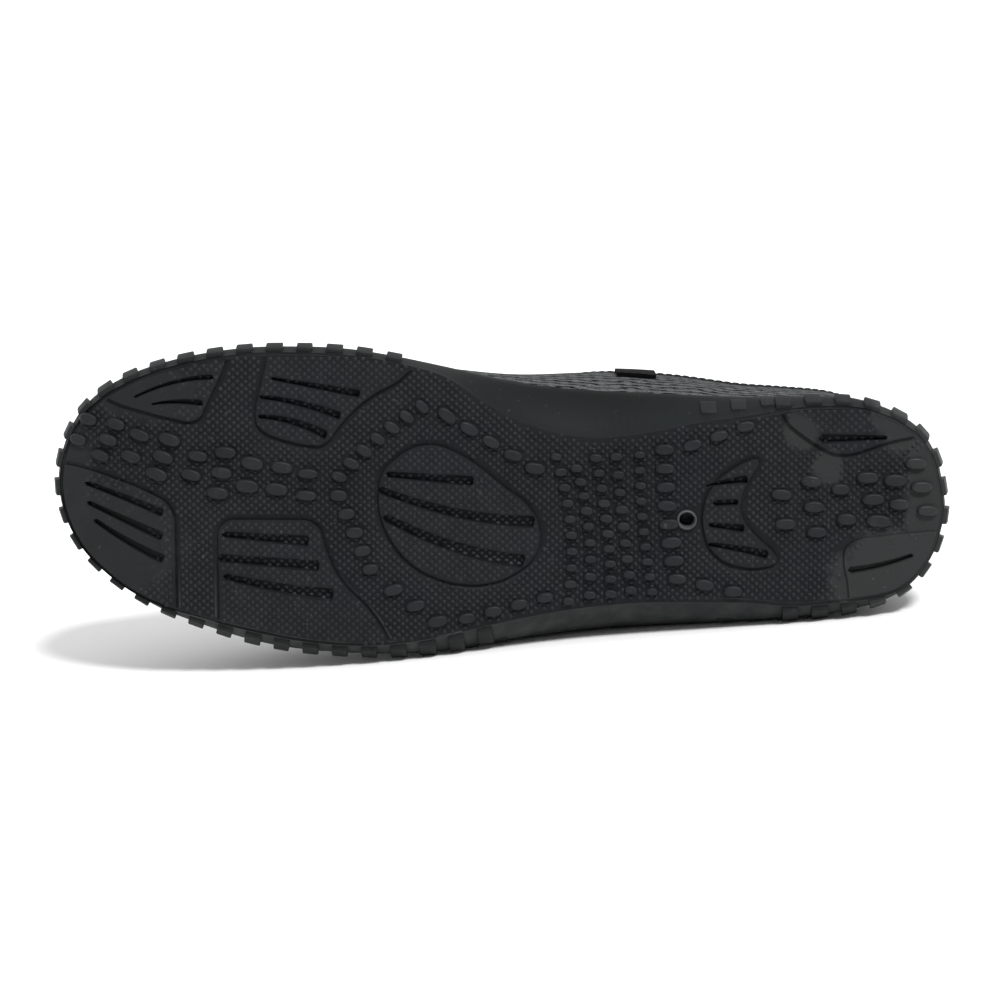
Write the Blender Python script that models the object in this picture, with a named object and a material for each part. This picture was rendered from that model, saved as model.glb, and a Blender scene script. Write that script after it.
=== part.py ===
"""Low water shoe for the right foot, lying on its outer side with the tread facing -Y.

Lengths are metres. The shoe is first worked out upright and flat: x from heel to toe, y towards
the inner side of the foot, z up from the stud tops. A shared bend then gives it toe spring, arch
rise and heel bevel, and at the end every piece is turned together into its resting position.
Tables hold shares of the named sizes, so the whole shoe follows when one of them changes.
"""
import math
from collections import namedtuple

import bmesh
import bpy
import numpy as np
from mathutils import Matrix, Vector
from mathutils.bvhtree import BVHTree

LENGTH = 0.280
BALL_WIDTH = 0.100
INSTEP_HEIGHT = 0.072
HEEL_HEIGHT = 0.072
WALL_HEIGHT = 0.020
TOE_SPRING = 0.011
ARCH_RISE = 0.0025
HEEL_BEVEL = 0.0015

GAP = 0.00032
RUBBER_WALL = 0.0019
WALL_TAPER = 0.0026
KNIT_WALL = 0.0018
BED_HEIGHT = 0.0070
BASE_LEVEL = 0.0016
PANEL_LEVEL = 0.0008
SLIT_LEVEL = 0.0024
WIDEST_HEIGHT = 0.0090
INSOLE_THICKNESS = 0.0030
ROOT_DEPTH = 0.0013

BLOCK_LENGTH = 0.0050
BLOCK_PITCH = 0.0091
DRAIN_RADIUS = 0.0023
DRAIN_RIM = 0.0032
DRAIN_LEVEL = 0.0004
DRAIN_AT = (0.294, -0.056)
TAB_WIDTH = 0.0124
TAB_HEIGHT = 0.0165
TAB_THICKNESS = 0.0009
TAB_STATION = 0.343
TAB_BELOW_COLLAR = 0.0015

AROUND = 68
RIDGE_BACK = 0.12
RIDGE_FRONT = 0.90
CAP_SHARE = 0.12
BED_NARROWING = 0.56
SLOPE_STRETCH = 1.2
FLARE_POWER = 1.5

# Outline of the rubber at its widest, and how far the tread edge lies inside it.
SoleRow = namedtuple("SoleRow", "station medial lateral tread_in_medial tread_in_lateral")
SOLE = [
    SoleRow(0.012, 0.029, -0.081, 0.018, 0.018),
    SoleRow(0.020, 0.126, -0.163, 0.018, 0.018),
    SoleRow(0.037, 0.205, -0.240, 0.018, 0.020),
    SoleRow(0.059, 0.254, -0.295, 0.018, 0.025),
    SoleRow(0.086, 0.288, -0.328, 0.018, 0.035),
    SoleRow(0.119, 0.309, -0.354, 0.019, 0.048),
    SoleRow(0.173, 0.311, -0.378, 0.024, 0.061),
    SoleRow(0.228, 0.306, -0.393, 0.046, 0.088),
    SoleRow(0.282, 0.307, -0.409, 0.072, 0.106),
    SoleRow(0.337, 0.311, -0.421, 0.110, 0.115),
    SoleRow(0.391, 0.317, -0.434, 0.134, 0.114),
    SoleRow(0.446, 0.332, -0.449, 0.122, 0.106),
    SoleRow(0.500, 0.361, -0.464, 0.080, 0.090),
    SoleRow(0.554, 0.400, -0.481, 0.022, 0.072),
    SoleRow(0.609, 0.435, -0.487, 0.012, 0.051),
    SoleRow(0.663, 0.459, -0.484, 0.012, 0.042),
    SoleRow(0.718, 0.466, -0.472, 0.012, 0.045),
    SoleRow(0.772, 0.462, -0.444, 0.012, 0.047),
    SoleRow(0.827, 0.440, -0.396, 0.014, 0.036),
    SoleRow(0.871, 0.408, -0.350, 0.016, 0.025),
    SoleRow(0.907, 0.368, -0.295, 0.018, 0.018),
    SoleRow(0.936, 0.318, -0.236, 0.018, 0.018),
    SoleRow(0.958, 0.257, -0.175, 0.018, 0.018),
    SoleRow(0.973, 0.185, -0.107, 0.018, 0.018),
    SoleRow(0.982, 0.110, -0.034, 0.018, 0.018),
]
HEEL_TIP = (0.0095, -0.026, 0.018)
TOE_TIP = (0.985, 0.040, 0.018)

# Cross section of the upper: rubber rim height in wall heights, top line of the closed form in
# instep heights and ball widths, squareness and swell of each side, and height of the widest line.
FormRow = namedtuple(
    "FormRow",
    "station rim ridge ridge_y square_medial square_lateral swell_medial swell_lateral widest",
)
FORM = [
    FormRow(0.00, 1.30, 1.36, -0.03, 3.0, 2.6, 0.004, 0.000, 0.45),
    FormRow(0.10, 1.28, 1.38, -0.03, 3.0, 2.5, 0.006, 0.000, 0.45),
    FormRow(0.20, 1.10, 1.36, -0.04, 3.1, 2.4, 0.022, 0.012, 0.60),
    FormRow(0.30, 0.96, 1.32, -0.05, 3.2, 2.5, 0.048, 0.028, 0.85),
    FormRow(0.40, 0.92, 1.22, -0.05, 3.0, 2.4, 0.052, 0.028, 0.90),
    FormRow(0.50, 0.90, 1.05, -0.035, 2.6, 2.3, 0.026, 0.014, 0.70),
    FormRow(0.60, 0.88, 0.90, -0.005, 2.3, 2.2, 0.004, 0.000, 0.46),
    FormRow(0.70, 0.88, 0.75, 0.020, 2.3, 2.3, 0.000, 0.000, 0.45),
    FormRow(0.80, 0.92, 0.60, 0.035, 2.3, 2.3, 0.000, 0.000, 0.45),
    FormRow(0.88, 1.00, 0.50, 0.045, 2.2, 2.2, 0.000, 0.000, 0.45),
    FormRow(0.95, 1.08, 0.44, 0.050, 2.2, 2.2, 0.000, 0.000, 0.45),
    FormRow(1.00, 1.10, 0.42, 0.050, 2.2, 2.2, 0.000, 0.000, 0.45),
]

# Edge of the collar seen from the side, in heel heights.
CollarRow = namedtuple("CollarRow", "station height")
COLLAR = [
    CollarRow(-0.10, 1.00),
    CollarRow(0.03, 1.00),
    CollarRow(0.10, 0.93),
    CollarRow(0.19, 0.83),
    CollarRow(0.29, 0.80),
    CollarRow(0.38, 0.83),
    CollarRow(0.45, 0.91),
    CollarRow(0.50, 1.01),
    CollarRow(0.53, 1.14),
    CollarRow(0.55, 1.40),
]

# Lift of the tread from the ground: toe spring, arch rise and heel bevel as shares of each.
BendRow = namedtuple("BendRow", "station toe arch heel")
BEND = [
    BendRow(0.00, 0.00, 0.00, 1.00),
    BendRow(0.05, 0.00, 0.00, 0.00),
    BendRow(0.25, 0.00, 0.00, 0.00),
    BendRow(0.33, 0.00, 0.50, 0.00),
    BendRow(0.40, 0.00, 1.00, 0.00),
    BendRow(0.47, 0.00, 0.75, 0.00),
    BendRow(0.56, 0.00, 0.00, 0.00),
    BendRow(0.74, 0.00, 0.00, 0.00),
    BendRow(0.81, 0.07, 0.00, 0.00),
    BendRow(0.87, 0.26, 0.00, 0.00),
    BendRow(0.93, 0.56, 0.00, 0.00),
    BendRow(1.00, 1.08, 0.00, 0.00),
]

# Rows of oval studs from first to last centre. Stations, sides, and the bow along and drift across
# of a row's middle are shares. Tilt is in degrees, long and wide are millimetres, and corners counts
# the flats round a stud.
StudRun = namedtuple("StudRun", "x0 y0 x1 y1 bow drift count tilt0 tilt1 long wide corners")
STUDS = [
    StudRun(0.945, 0.244, 0.957, 0.180, 0.000, 0.000, 2, 12, 12, 5.2, 3.3, 8),
    StudRun(0.914, 0.232, 0.932, 0.134, 0.000, 0.000, 3, 18, 18, 5.8, 3.3, 8),
    StudRun(0.888, 0.201, 0.898, 0.134, 0.000, 0.000, 2, 15, 15, 6.4, 3.3, 8),
    StudRun(0.855, 0.189, 0.870, 0.082, 0.000, 0.000, 3, 18, 18, 6.7, 3.6, 8),
    StudRun(0.824, 0.140, 0.832, 0.082, 0.000, 0.000, 2, 12, 12, 6.4, 3.3, 8),
    StudRun(0.794, 0.152, 0.803, 0.027, 0.000, 0.000, 3, 10, 10, 6.7, 3.6, 8),
    StudRun(0.765, 0.119, 0.771, 0.049, 0.000, 0.000, 2, 10, 10, 7.0, 3.9, 8),
    StudRun(0.733, 0.107, 0.739, 0.040, 0.000, 0.000, 2, 6, 6, 6.7, 3.6, 8),
    StudRun(0.705, 0.088, 0.707, 0.021, 0.000, 0.000, 2, 4, 4, 6.4, 3.0, 8),
    StudRun(0.581, 0.293, 0.671, 0.079, 0.003, 0.009, 7, 42, 18, 5.2, 3.0, 8),
    StudRun(0.672, 0.021, 0.638, -0.207, 0.000, 0.000, 5, 4, -8, 5.2, 3.3, 8),
    StudRun(0.613, -0.271, 0.565, -0.369, 0.000, 0.000, 3, -15, -15, 6.1, 3.3, 8),
    StudRun(0.533, -0.360, 0.448, -0.299, 0.000, 0.000, 4, -8, -8, 5.2, 3.0, 8),
    StudRun(0.554, 0.265, 0.459, 0.101, 0.000, 0.000, 5, 42, 8, 6.1, 3.3, 8),
    StudRun(0.436, 0.137, 0.422, -0.310, -0.009, 0.006, 10, 4, 4, 3.8, 2.4, 6),
    StudRun(0.414, 0.101, 0.399, -0.291, -0.006, 0.017, 9, 4, 4, 3.8, 2.4, 6),
    StudRun(0.393, 0.133, 0.376, -0.287, -0.004, 0.000, 10, 4, 4, 3.9, 2.4, 6),
    StudRun(0.371, 0.137, 0.354, -0.274, 0.000, -0.009, 9, 4, 4, 3.8, 2.4, 6),
    StudRun(0.346, 0.144, 0.331, -0.278, 0.003, -0.002, 10, 4, 4, 3.5, 2.2, 6),
    StudRun(0.319, 0.160, 0.304, -0.238, 0.003, -0.002, 8, 0, 0, 6.0, 3.2, 8),
    StudRun(0.289, 0.174, 0.232, 0.232, 0.000, 0.000, 3, -18, -12, 5.5, 3.0, 8),
    StudRun(0.274, -0.256, 0.243, -0.275, 0.000, 0.000, 2, 5, 0, 5.8, 3.3, 8),
    StudRun(0.192, 0.024, 0.187, -0.067, 0.000, 0.000, 2, 2, 2, 6.4, 3.3, 8),
    StudRun(0.160, 0.064, 0.153, -0.092, 0.000, 0.000, 3, 2, 2, 6.1, 3.3, 8),
    StudRun(0.128, 0.040, 0.121, -0.052, 0.000, 0.000, 2, 2, 2, 6.1, 3.6, 8),
    StudRun(0.099, 0.076, 0.086, -0.058, 0.000, 0.000, 3, 2, 2, 7.0, 3.6, 8),
    StudRun(0.069, 0.067, 0.064, -0.006, 0.000, 0.000, 2, 2, 2, 6.7, 3.6, 8),
    StudRun(0.047, 0.119, 0.033, -0.027, 0.000, 0.000, 3, 2, 2, 6.4, 3.3, 8),
]

# Leaf shaped slits: ends and sideways bow as shares, widths at both ends in millimetres.
Slit = namedtuple("Slit", "x0 y0 x1 y1 bow width0 width1")
SLITS = [
    Slit(0.892, 0.317, 0.808, 0.381, 0.014, 0.6, 1.5),
    Slit(0.873, 0.296, 0.820, 0.302, 0.006, 0.5, 2.0),
    Slit(0.948, 0.046, 0.866, -0.037, 0.003, 1.5, 2.7),
    Slit(0.946, -0.015, 0.867, -0.110, 0.000, 1.5, 3.0),
    Slit(0.939, -0.070, 0.866, -0.180, -0.006, 1.5, 3.0),
    Slit(0.742, 0.378, 0.650, 0.332, 0.000, 0.9, 2.4),
    Slit(0.754, 0.322, 0.671, 0.265, 0.008, 1.2, 2.4),
    Slit(0.756, 0.262, 0.686, 0.207, 0.012, 1.2, 2.7),
    Slit(0.796, -0.101, 0.707, -0.120, 0.000, 1.8, 3.3),
    Slit(0.801, -0.174, 0.696, -0.197, 0.000, 2.4, 3.3),
    Slit(0.795, -0.232, 0.681, -0.287, -0.006, 2.1, 3.9),
    Slit(0.618, 0.085, 0.528, 0.064, 0.000, 1.8, 3.0),
    Slit(0.626, 0.037, 0.462, -0.064, -0.021, 2.1, 3.6),
    Slit(0.620, -0.049, 0.473, -0.186, -0.021, 2.4, 4.2),
    Slit(0.273, 0.049, 0.231, 0.070, 0.003, 0.6, 2.4),
    Slit(0.263, -0.003, 0.241, 0.000, 0.000, 1.8, 1.8),
    Slit(0.268, -0.070, 0.234, -0.081, 0.000, 1.5, 2.4),
    Slit(0.269, -0.131, 0.208, -0.162, 0.003, 1.2, 2.7),
    Slit(0.148, 0.195, 0.081, 0.198, 0.000, 2.7, 1.2),
    Slit(0.115, -0.210, 0.050, -0.165, -0.006, 2.1, 1.2),
]

# Raised tread panels as corner lists in shares; those that reach the edge are trimmed to it.
PANELS = {
    "toe_medial": [(0.941, 0.348), (0.923, 0.305), (0.881, 0.271), (0.823, 0.235), (0.813, 0.302),
                   (0.791, 0.424), (0.786, 0.546), (0.892, 0.546), (0.969, 0.378)],
    "toe_lateral": [(0.851, -0.476), (0.851, -0.018), (0.881, 0.027), (0.914, 0.061), (0.945, 0.088),
                    (0.977, 0.104), (1.012, 0.104), (1.012, -0.232), (0.936, -0.445)],
    "forefoot_medial": [(0.740, 0.546), (0.753, 0.378), (0.763, 0.271), (0.758, 0.220), (0.734, 0.192),
                        (0.702, 0.171), (0.684, 0.174), (0.669, 0.241), (0.640, 0.320), (0.596, 0.384),
                        (0.565, 0.546)],
    "forefoot_lateral": [(0.804, -0.537), (0.804, -0.055), (0.694, -0.055), (0.687, -0.146),
                         (0.672, -0.244), (0.635, -0.345), (0.598, -0.537)],
    "ball_fan": [(0.630, 0.027), (0.626, 0.088), (0.617, 0.119), (0.598, 0.162), (0.575, 0.180),
                 (0.552, 0.165), (0.524, 0.119), (0.495, 0.049), (0.462, -0.018), (0.451, -0.095),
                 (0.456, -0.171), (0.478, -0.223), (0.505, -0.256), (0.538, -0.259), (0.571, -0.232),
                 (0.598, -0.186), (0.617, -0.116), (0.628, -0.043)],
    "heel_crescent": [(0.211, 0.146), (0.225, 0.073), (0.237, 0.012), (0.235, -0.049), (0.220, -0.104),
                      (0.190, -0.174), (0.204, -0.204), (0.238, -0.204), (0.265, -0.168), (0.277, -0.095),
                      (0.278, -0.018), (0.269, 0.049), (0.244, 0.110)],
    "heel_medial": [(0.200, 0.378), (0.192, 0.256), (0.173, 0.210), (0.146, 0.159), (0.126, 0.143),
                    (0.105, 0.156), (0.075, 0.189), (0.048, 0.201), (-0.007, 0.256), (-0.001, 0.378)],
    "heel_lateral": [(0.121, -0.445), (0.116, -0.268), (0.126, -0.171), (0.118, -0.116), (0.053, -0.095),
                     (-0.012, -0.085), (-0.012, -0.445)],
}

# Runs of small blocks on the rubber wall: a run starts at a station on one side and goes round
# the toe or the heel. Low and high are shares of the wall height, proud is in millimetres.
BlockRun = namedtuple("BlockRun", "side station count low high proud")
BLOCKS = [
    BlockRun("lateral", 0.512, 32, 0.13, 0.42, 1.4),
    BlockRun("lateral", 0.497, 2, 0.48, 0.64, 0.4),
    BlockRun("medial_back", 0.190, 16, 0.13, 0.42, 1.4),
    BlockRun("medial_back", 0.250, 4, 0.50, 0.76, 0.7),
    BlockRun("lateral_back", 0.250, 4, 0.48, 0.64, 0.4),
]


def column(rows, name):
    return np.array([getattr(row, name) for row in rows])


def along(rows, name, x):
    """Table column read at distance x from the heel, smoothed between its rows."""
    stations = column(rows, "station")
    values = column(rows, name)
    place = np.clip(np.asarray(x) / LENGTH, stations[0], stations[-1])
    slopes = np.gradient(values, stations)
    left = np.clip(np.searchsorted(stations, place, side="right") - 1, 0, len(stations) - 2)
    step = stations[left + 1] - stations[left]
    t = (place - stations[left]) / step
    start = values[left] * (1 + 2 * t) * (1 - t) ** 2 + values[left + 1] * t * t * (3 - 2 * t)
    return start + step * (slopes[left] * t * (1 - t) ** 2 - slopes[left + 1] * t * t * (1 - t))


def lift(x):
    """Height of the bent tread plane, straight between the bend stations."""
    rise = (
        column(BEND, "toe") * TOE_SPRING
        + column(BEND, "arch") * ARCH_RISE
        + column(BEND, "heel") * HEEL_BEVEL
    )
    return np.interp(np.asarray(x) / LENGTH, column(BEND, "station"), rise)


def outline():
    """Loop round the widest rubber: plan points, plan normals, tread inset, medial flag."""
    heel = [(HEEL_TIP[0], HEEL_TIP[1], HEEL_TIP[2])]
    toe = [(TOE_TIP[0], TOE_TIP[1], TOE_TIP[2])]
    inner = [(row.station, row.medial, row.tread_in_medial) for row in SOLE]
    outer = [(row.station, row.lateral, row.tread_in_lateral) for row in reversed(SOLE)]
    knots = np.array(heel + inner + toe + outer) * (LENGTH, BALL_WIDTH, BALL_WIDTH)
    before = np.roll(knots, 1, axis=0)
    after = np.roll(knots, -1, axis=0)
    beyond = np.roll(knots, -2, axis=0)
    fine = []
    for t in np.arange(0, 1, 0.1):
        bend = 2 * before - 5 * knots + 4 * after - beyond
        turn = 3 * knots - 3 * after + beyond - before
        fine.append(0.5 * (2 * knots + (after - before) * t + bend * t * t + turn * t ** 3))
    dense = np.stack(fine, axis=1).reshape(-1, 3)
    closed = np.vstack([dense, dense[:1]])
    run = np.concatenate([[0], np.cumsum(np.linalg.norm(np.diff(closed[:, :2], axis=0), axis=1))])
    places = np.linspace(0, run[-1], AROUND, endpoint=False)
    loop = np.stack([np.interp(places, run, closed[:, i]) for i in range(3)], axis=1)
    tangent = np.roll(loop, -1, axis=0)[:, :2] - np.roll(loop, 1, axis=0)[:, :2]
    normal = np.stack([-tangent[:, 1], tangent[:, 0]], axis=1)
    normal /= np.linalg.norm(normal, axis=1)[:, None]
    toe_index = int(np.argmax(loop[:, 0]))
    medial = np.arange(AROUND) < toe_index
    return loop[:, :2], normal, loop[:, 2], medial


PLAN, NORMAL, TREAD_IN, MEDIAL = outline()
RIM = along(FORM, "rim", PLAN[:, 0]) * WALL_HEIGHT
WIDEST = np.maximum(along(FORM, "widest", PLAN[:, 0]) * WALL_HEIGHT, WIDEST_HEIGHT * 0.9)
TAPER = WALL_TAPER * (RIM - WIDEST) / WALL_HEIGHT


def ring(inset, height):
    """Closed loop of points moved inwards from the outline and set at a height."""
    flat = PLAN - NORMAL * np.broadcast_to(inset, (AROUND,))[:, None]
    return np.column_stack([flat, np.broadcast_to(height, (AROUND,))])


def wall_ring(share):
    """Outside of the rubber between tread edge (0) and widest line (1)."""
    return ring(TREAD_IN * (1 - share) ** FLARE_POWER, BASE_LEVEL + (WIDEST - BASE_LEVEL) * share)


def knit_inset(share):
    """Inset of the upper between foot bed (0) and rubber rim (1)."""
    return TAPER + GAP + RUBBER_WALL + TREAD_IN * BED_NARROWING * (1 - share) ** FLARE_POWER


def knit_height(share):
    return BED_HEIGHT + GAP + (RIM - BED_HEIGHT - GAP) * share


def upper_rings():
    """Outer surface of the closed upper from the foot bed to the band along its top line."""
    rings = [ring(knit_inset(share), knit_height(share)) for share in (0.0, 0.35, 0.7, 1.0)]
    rim_plan = rings[-1][:, :2]
    station = PLAN[:, 0] / LENGTH
    ridge_x = (RIDGE_BACK + (RIDGE_FRONT - RIDGE_BACK) * station) * LENGTH
    ridge = np.column_stack([ridge_x, along(FORM, "ridge_y", ridge_x) * BALL_WIDTH])
    top = along(FORM, "ridge", ridge_x) * INSTEP_HEIGHT
    square = np.where(
        MEDIAL,
        along(FORM, "square_medial", PLAN[:, 0]),
        along(FORM, "square_lateral", PLAN[:, 0]),
    )
    swell = BALL_WIDTH * np.where(
        MEDIAL,
        along(FORM, "swell_medial", PLAN[:, 0]),
        along(FORM, "swell_lateral", PLAN[:, 0]),
    )
    last_angle = math.acos(CAP_SHARE ** 1.2)
    for share in (0.12, 0.28, 0.45, 0.62, 0.81, 1.0):
        angle = last_angle * share
        narrow = np.cos(angle) ** (2 / square)
        high = np.sin(angle) ** (2 / square)
        flat = ridge + (rim_plan - ridge) * narrow[:, None]
        flat = flat + NORMAL * (swell * 4 * high * (1 - high))[:, None]
        rings.append(np.column_stack([flat, RIM + (top - RIM) * high]))
    return rings


def new_mesh(name, points, faces):
    mesh = bpy.data.meshes.new(name)
    mesh.from_pydata([tuple(p) for p in points], [], faces)
    mesh.update()
    thing = bpy.data.objects.new(name, mesh)
    bpy.context.scene.collection.objects.link(thing)
    return thing


def band_faces(first, second):
    """Quads between two rings that start at the given vertex numbers."""
    faces = []
    for i in range(AROUND):
        j = (i + 1) % AROUND
        faces.append((first + i, first + j, second + j, second + i))
    return faces


def cap_faces(start):
    """Quads across a ring, from its inner side to its outer side."""
    half = AROUND // 2
    faces = [(start, start + 1, start + AROUND - 1)]
    for i in range(1, half - 1):
        faces.append((start + i, start + i + 1, start + AROUND - i - 1, start + AROUND - i))
    faces.append((start + half - 1, start + half, start + half + 1))
    return faces


def outward(thing):
    work = bmesh.new()
    work.from_mesh(thing.data)
    bmesh.ops.recalc_face_normals(work, faces=work.faces)
    work.to_mesh(thing.data)
    work.free()
    return thing


def vertex_normals(points, faces):
    normals = np.zeros_like(points)
    for face in faces:
        corners = points[list(face)]
        pull = np.cross(corners[2] - corners[0], corners[-1] - corners[1])
        for corner in face:
            normals[corner] += pull
    return normals / np.linalg.norm(normals, axis=1)[:, None]


def make_upper():
    rings = upper_rings()
    count = len(rings)
    outer = np.vstack(rings)
    faces = []
    for level in range(count - 1):
        faces += band_faces(level * AROUND, (level + 1) * AROUND)
    faces += cap_faces((count - 1) * AROUND)
    normals = vertex_normals(outer, faces)
    middle = outer.mean(axis=0)
    if np.sum(normals * (outer - middle)) < 0:
        normals = -normals
    inner = outer - normals * KNIT_WALL
    inner[:AROUND] = ring(knit_inset(0.0) + KNIT_WALL * SLOPE_STRETCH, knit_height(0.0))
    shift = len(outer)
    lining = [tuple(corner + shift for corner in reversed(face)) for face in faces]
    rim = [(b, a, c, d) for a, b, d, c in band_faces(0, shift)]
    return outward(new_mesh("upper", np.vstack([outer, inner]), faces + lining + rim))


def prism(name, outlines, low, high):
    """One mesh of upright prisms, a closed solid for each outline."""
    points = []
    faces = []
    for shape in outlines:
        start = len(points)
        count = len(shape)
        points += [(x, y, low) for x, y in shape]
        points += [(x, y, high) for x, y in shape]
        faces.append(tuple(range(start, start + count)))
        faces.append(tuple(range(start + 2 * count - 1, start + count - 1, -1)))
        for i in range(count):
            j = (i + 1) % count
            faces.append((start + i, start + count + i, start + count + j, start + j))
    return outward(new_mesh(name, points, faces))


def combine(target, tool, kind):
    """Boolean of the target with a helper, which is removed afterwards."""
    tool.hide_render = True
    tool.display_type = "WIRE"
    cut = target.modifiers.new(kind.lower(), "BOOLEAN")
    cut.operation = kind
    cut.solver = "EXACT"
    cut.object = tool
    bpy.context.view_layer.update()
    done = bpy.data.meshes.new_from_object(target.evaluated_get(bpy.context.evaluated_depsgraph_get()))
    target.modifiers.clear()
    target.data = done
    bpy.data.objects.remove(tool)


def rounded(corners):
    """Closed outline with each corner cut to two points a quarter of an edge away."""
    shape = []
    for here, there in zip(corners, np.roll(corners, -1, axis=0)):
        shape.append(here * 0.8 + there * 0.2)
        shape.append(here * 0.2 + there * 0.8)
    return np.array(shape)


def collar_cutter():
    """Tall slab over the collar line, cut right across the shoe."""
    stations = np.linspace(COLLAR[0].station, COLLAR[-1].station, 28)
    heights = along(COLLAR, "height", stations * LENGTH) * HEEL_HEIGHT
    top = heights.max() + HEEL_HEIGHT
    side = [(s * LENGTH, h) for s, h in zip(stations, heights)]
    side += [(side[-1][0], top), (side[0][0], top)]
    points = [(x, BALL_WIDTH, z) for x, z in side] + [(x, -BALL_WIDTH, z) for x, z in side]
    count = len(side)
    faces = [tuple(range(count)), tuple(range(2 * count - 1, count - 1, -1))]
    faces += [(i, count + i, count + (i + 1) % count, (i + 1) % count) for i in range(count)]
    return outward(new_mesh("collar_cut", points, faces))


def stud_shapes():
    shapes = []
    for run in STUDS:
        for i in range(run.count):
            t = i / (run.count - 1)
            x = (run.x0 + (run.x1 - run.x0) * t + run.bow * 4 * t * (1 - t)) * LENGTH
            y = (run.y0 + (run.y1 - run.y0) * t + run.drift * 4 * t * (1 - t)) * BALL_WIDTH
            tilt = math.radians(run.tilt0 + (run.tilt1 - run.tilt0) * t)
            turn = np.array([[math.cos(tilt), -math.sin(tilt)], [math.sin(tilt), math.cos(tilt)]])
            angles = (np.arange(run.corners) + 0.5) * 2 * math.pi / run.corners
            oval = np.column_stack([np.cos(angles) * run.long, np.sin(angles) * run.wide]) / 2000
            shapes.append(oval @ turn.T + (x, y))
    return shapes


def slit_shapes():
    shapes = []
    for slit in SLITS:
        start = np.array([slit.x0 * LENGTH, slit.y0 * BALL_WIDTH])
        end = np.array([slit.x1 * LENGTH, slit.y1 * BALL_WIDTH])
        run = (end - start) / np.linalg.norm(end - start)
        side = np.array([-run[1], run[0]])
        left = []
        right = []
        for t in (0.0, 0.3, 0.65, 1.0):
            middle = start + (end - start) * t + (0, slit.bow * 4 * t * (1 - t) * BALL_WIDTH)
            half = (slit.width0 + (slit.width1 - slit.width0) * t) / 2000
            left.append(middle + side * half)
            right.append(middle - side * half)
        nose = start - run * slit.width0 / 2500
        tail = end + run * slit.width1 / 2500
        shapes.append(np.array([nose] + left + [tail] + right[::-1]))
    return shapes


def wall_point(place, share_high):
    """Point and outward normal on the rubber wall at a loop position and height."""
    height = share_high * WALL_HEIGHT
    low = int(place) % AROUND
    part = place - int(place)
    high = (low + 1) % AROUND
    spot = PLAN[low] * (1 - part) + PLAN[high] * part
    facing = NORMAL[low] * (1 - part) + NORMAL[high] * part
    facing = facing / np.linalg.norm(facing)
    inset = TREAD_IN[low] * (1 - part) + TREAD_IN[high] * part
    widest = WIDEST[low] * (1 - part) + WIDEST[high] * part
    rise = min(max((height - BASE_LEVEL) / (widest - BASE_LEVEL), 0.0), 1.0)
    return spot - facing * inset * (1 - rise) ** FLARE_POWER, facing, height


def start_place(run):
    """Loop position where a run of blocks starts, and the way it goes."""
    side = MEDIAL if run.side.startswith("medial") else ~MEDIAL
    gap = np.where(side, np.abs(PLAN[:, 0] - run.station * LENGTH), LENGTH)
    way = 1 if run.side == "lateral_back" else -1
    return float(np.argmin(gap)), way


def make_blocks():
    step = np.linalg.norm(np.roll(PLAN, -1, axis=0) - PLAN, axis=1).mean()
    points = []
    faces = []
    for run in BLOCKS:
        place, way = start_place(run)
        for i in range(run.count):
            middle = (place + way * i * BLOCK_PITCH / step) % AROUND
            base = len(points)
            for share in (run.low, run.high):
                spot, facing, height = wall_point(middle, share)
                tangent = np.array([facing[1], -facing[0]])
                for depth, end in ((-1, -1), (-1, 1), (1, 1), (1, -1)):
                    out = run.proud / 1000 if depth > 0 else -ROOT_DEPTH
                    flat = spot + facing * out + tangent * end * BLOCK_LENGTH / 2
                    points.append((flat[0], flat[1], height))
            faces.append((base, base + 1, base + 2, base + 3))
            faces.append((base + 7, base + 6, base + 5, base + 4))
            for j in range(4):
                k = (j + 1) % 4
                faces.append((base + j, base + 4 + j, base + 4 + k, base + k))
    return outward(new_mesh("wall_blocks", points, faces))


def circle(radius, corners):
    angles = np.arange(corners) * 2 * math.pi / corners
    centre = (DRAIN_AT[0] * LENGTH, DRAIN_AT[1] * BALL_WIDTH)
    return np.column_stack([np.cos(angles), np.sin(angles)]) * radius + centre


def make_outsole():
    rings = [wall_ring(share) for share in (0.0, 0.2, 0.6, 1.0)]
    rings.append(ring(TAPER * 0.75, WIDEST + (RIM - WIDEST) * 0.85))
    rings.append(ring(TAPER + RUBBER_WALL * 0.25, RIM))
    rings.append(ring(TAPER + RUBBER_WALL, RIM))
    for share in (0.7, 0.35):
        rings.append(ring(knit_inset(share) - GAP, knit_height(share)))
    rings.append(ring(knit_inset(0.0) - GAP, BED_HEIGHT))
    faces = []
    for level in range(len(rings) - 1):
        faces += band_faces(level * AROUND, (level + 1) * AROUND)
    faces.append(tuple(range(AROUND)))
    last = (len(rings) - 1) * AROUND
    faces.append(tuple(range(last + AROUND - 1, last - 1, -1)))
    sole = outward(new_mesh("outsole", np.vstack(rings), faces))
    root = BASE_LEVEL + ROOT_DEPTH
    shapes = [rounded(np.array(corners) * (LENGTH, BALL_WIDTH)) for corners in PANELS.values()]
    panels = prism("panels", shapes, PANEL_LEVEL, root)
    edge = ring(TREAD_IN + GAP, 0.0)[:, :2]
    combine(panels, prism("tread_edge", [edge], -BASE_LEVEL, 2 * root), "INTERSECT")
    combine(sole, panels, "UNION")
    combine(sole, prism("slit_cut", slit_shapes(), -BASE_LEVEL, SLIT_LEVEL), "DIFFERENCE")
    combine(sole, prism("studs", stud_shapes(), 0.0, root), "UNION")
    combine(sole, prism("drain_rim", [circle(DRAIN_RIM, 16)], DRAIN_LEVEL, root), "UNION")
    combine(sole, prism("drain_cut", [circle(DRAIN_RADIUS, 16)], -BASE_LEVEL, 2 * BED_HEIGHT), "DIFFERENCE")
    combine(sole, make_blocks(), "UNION")
    return sole


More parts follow.
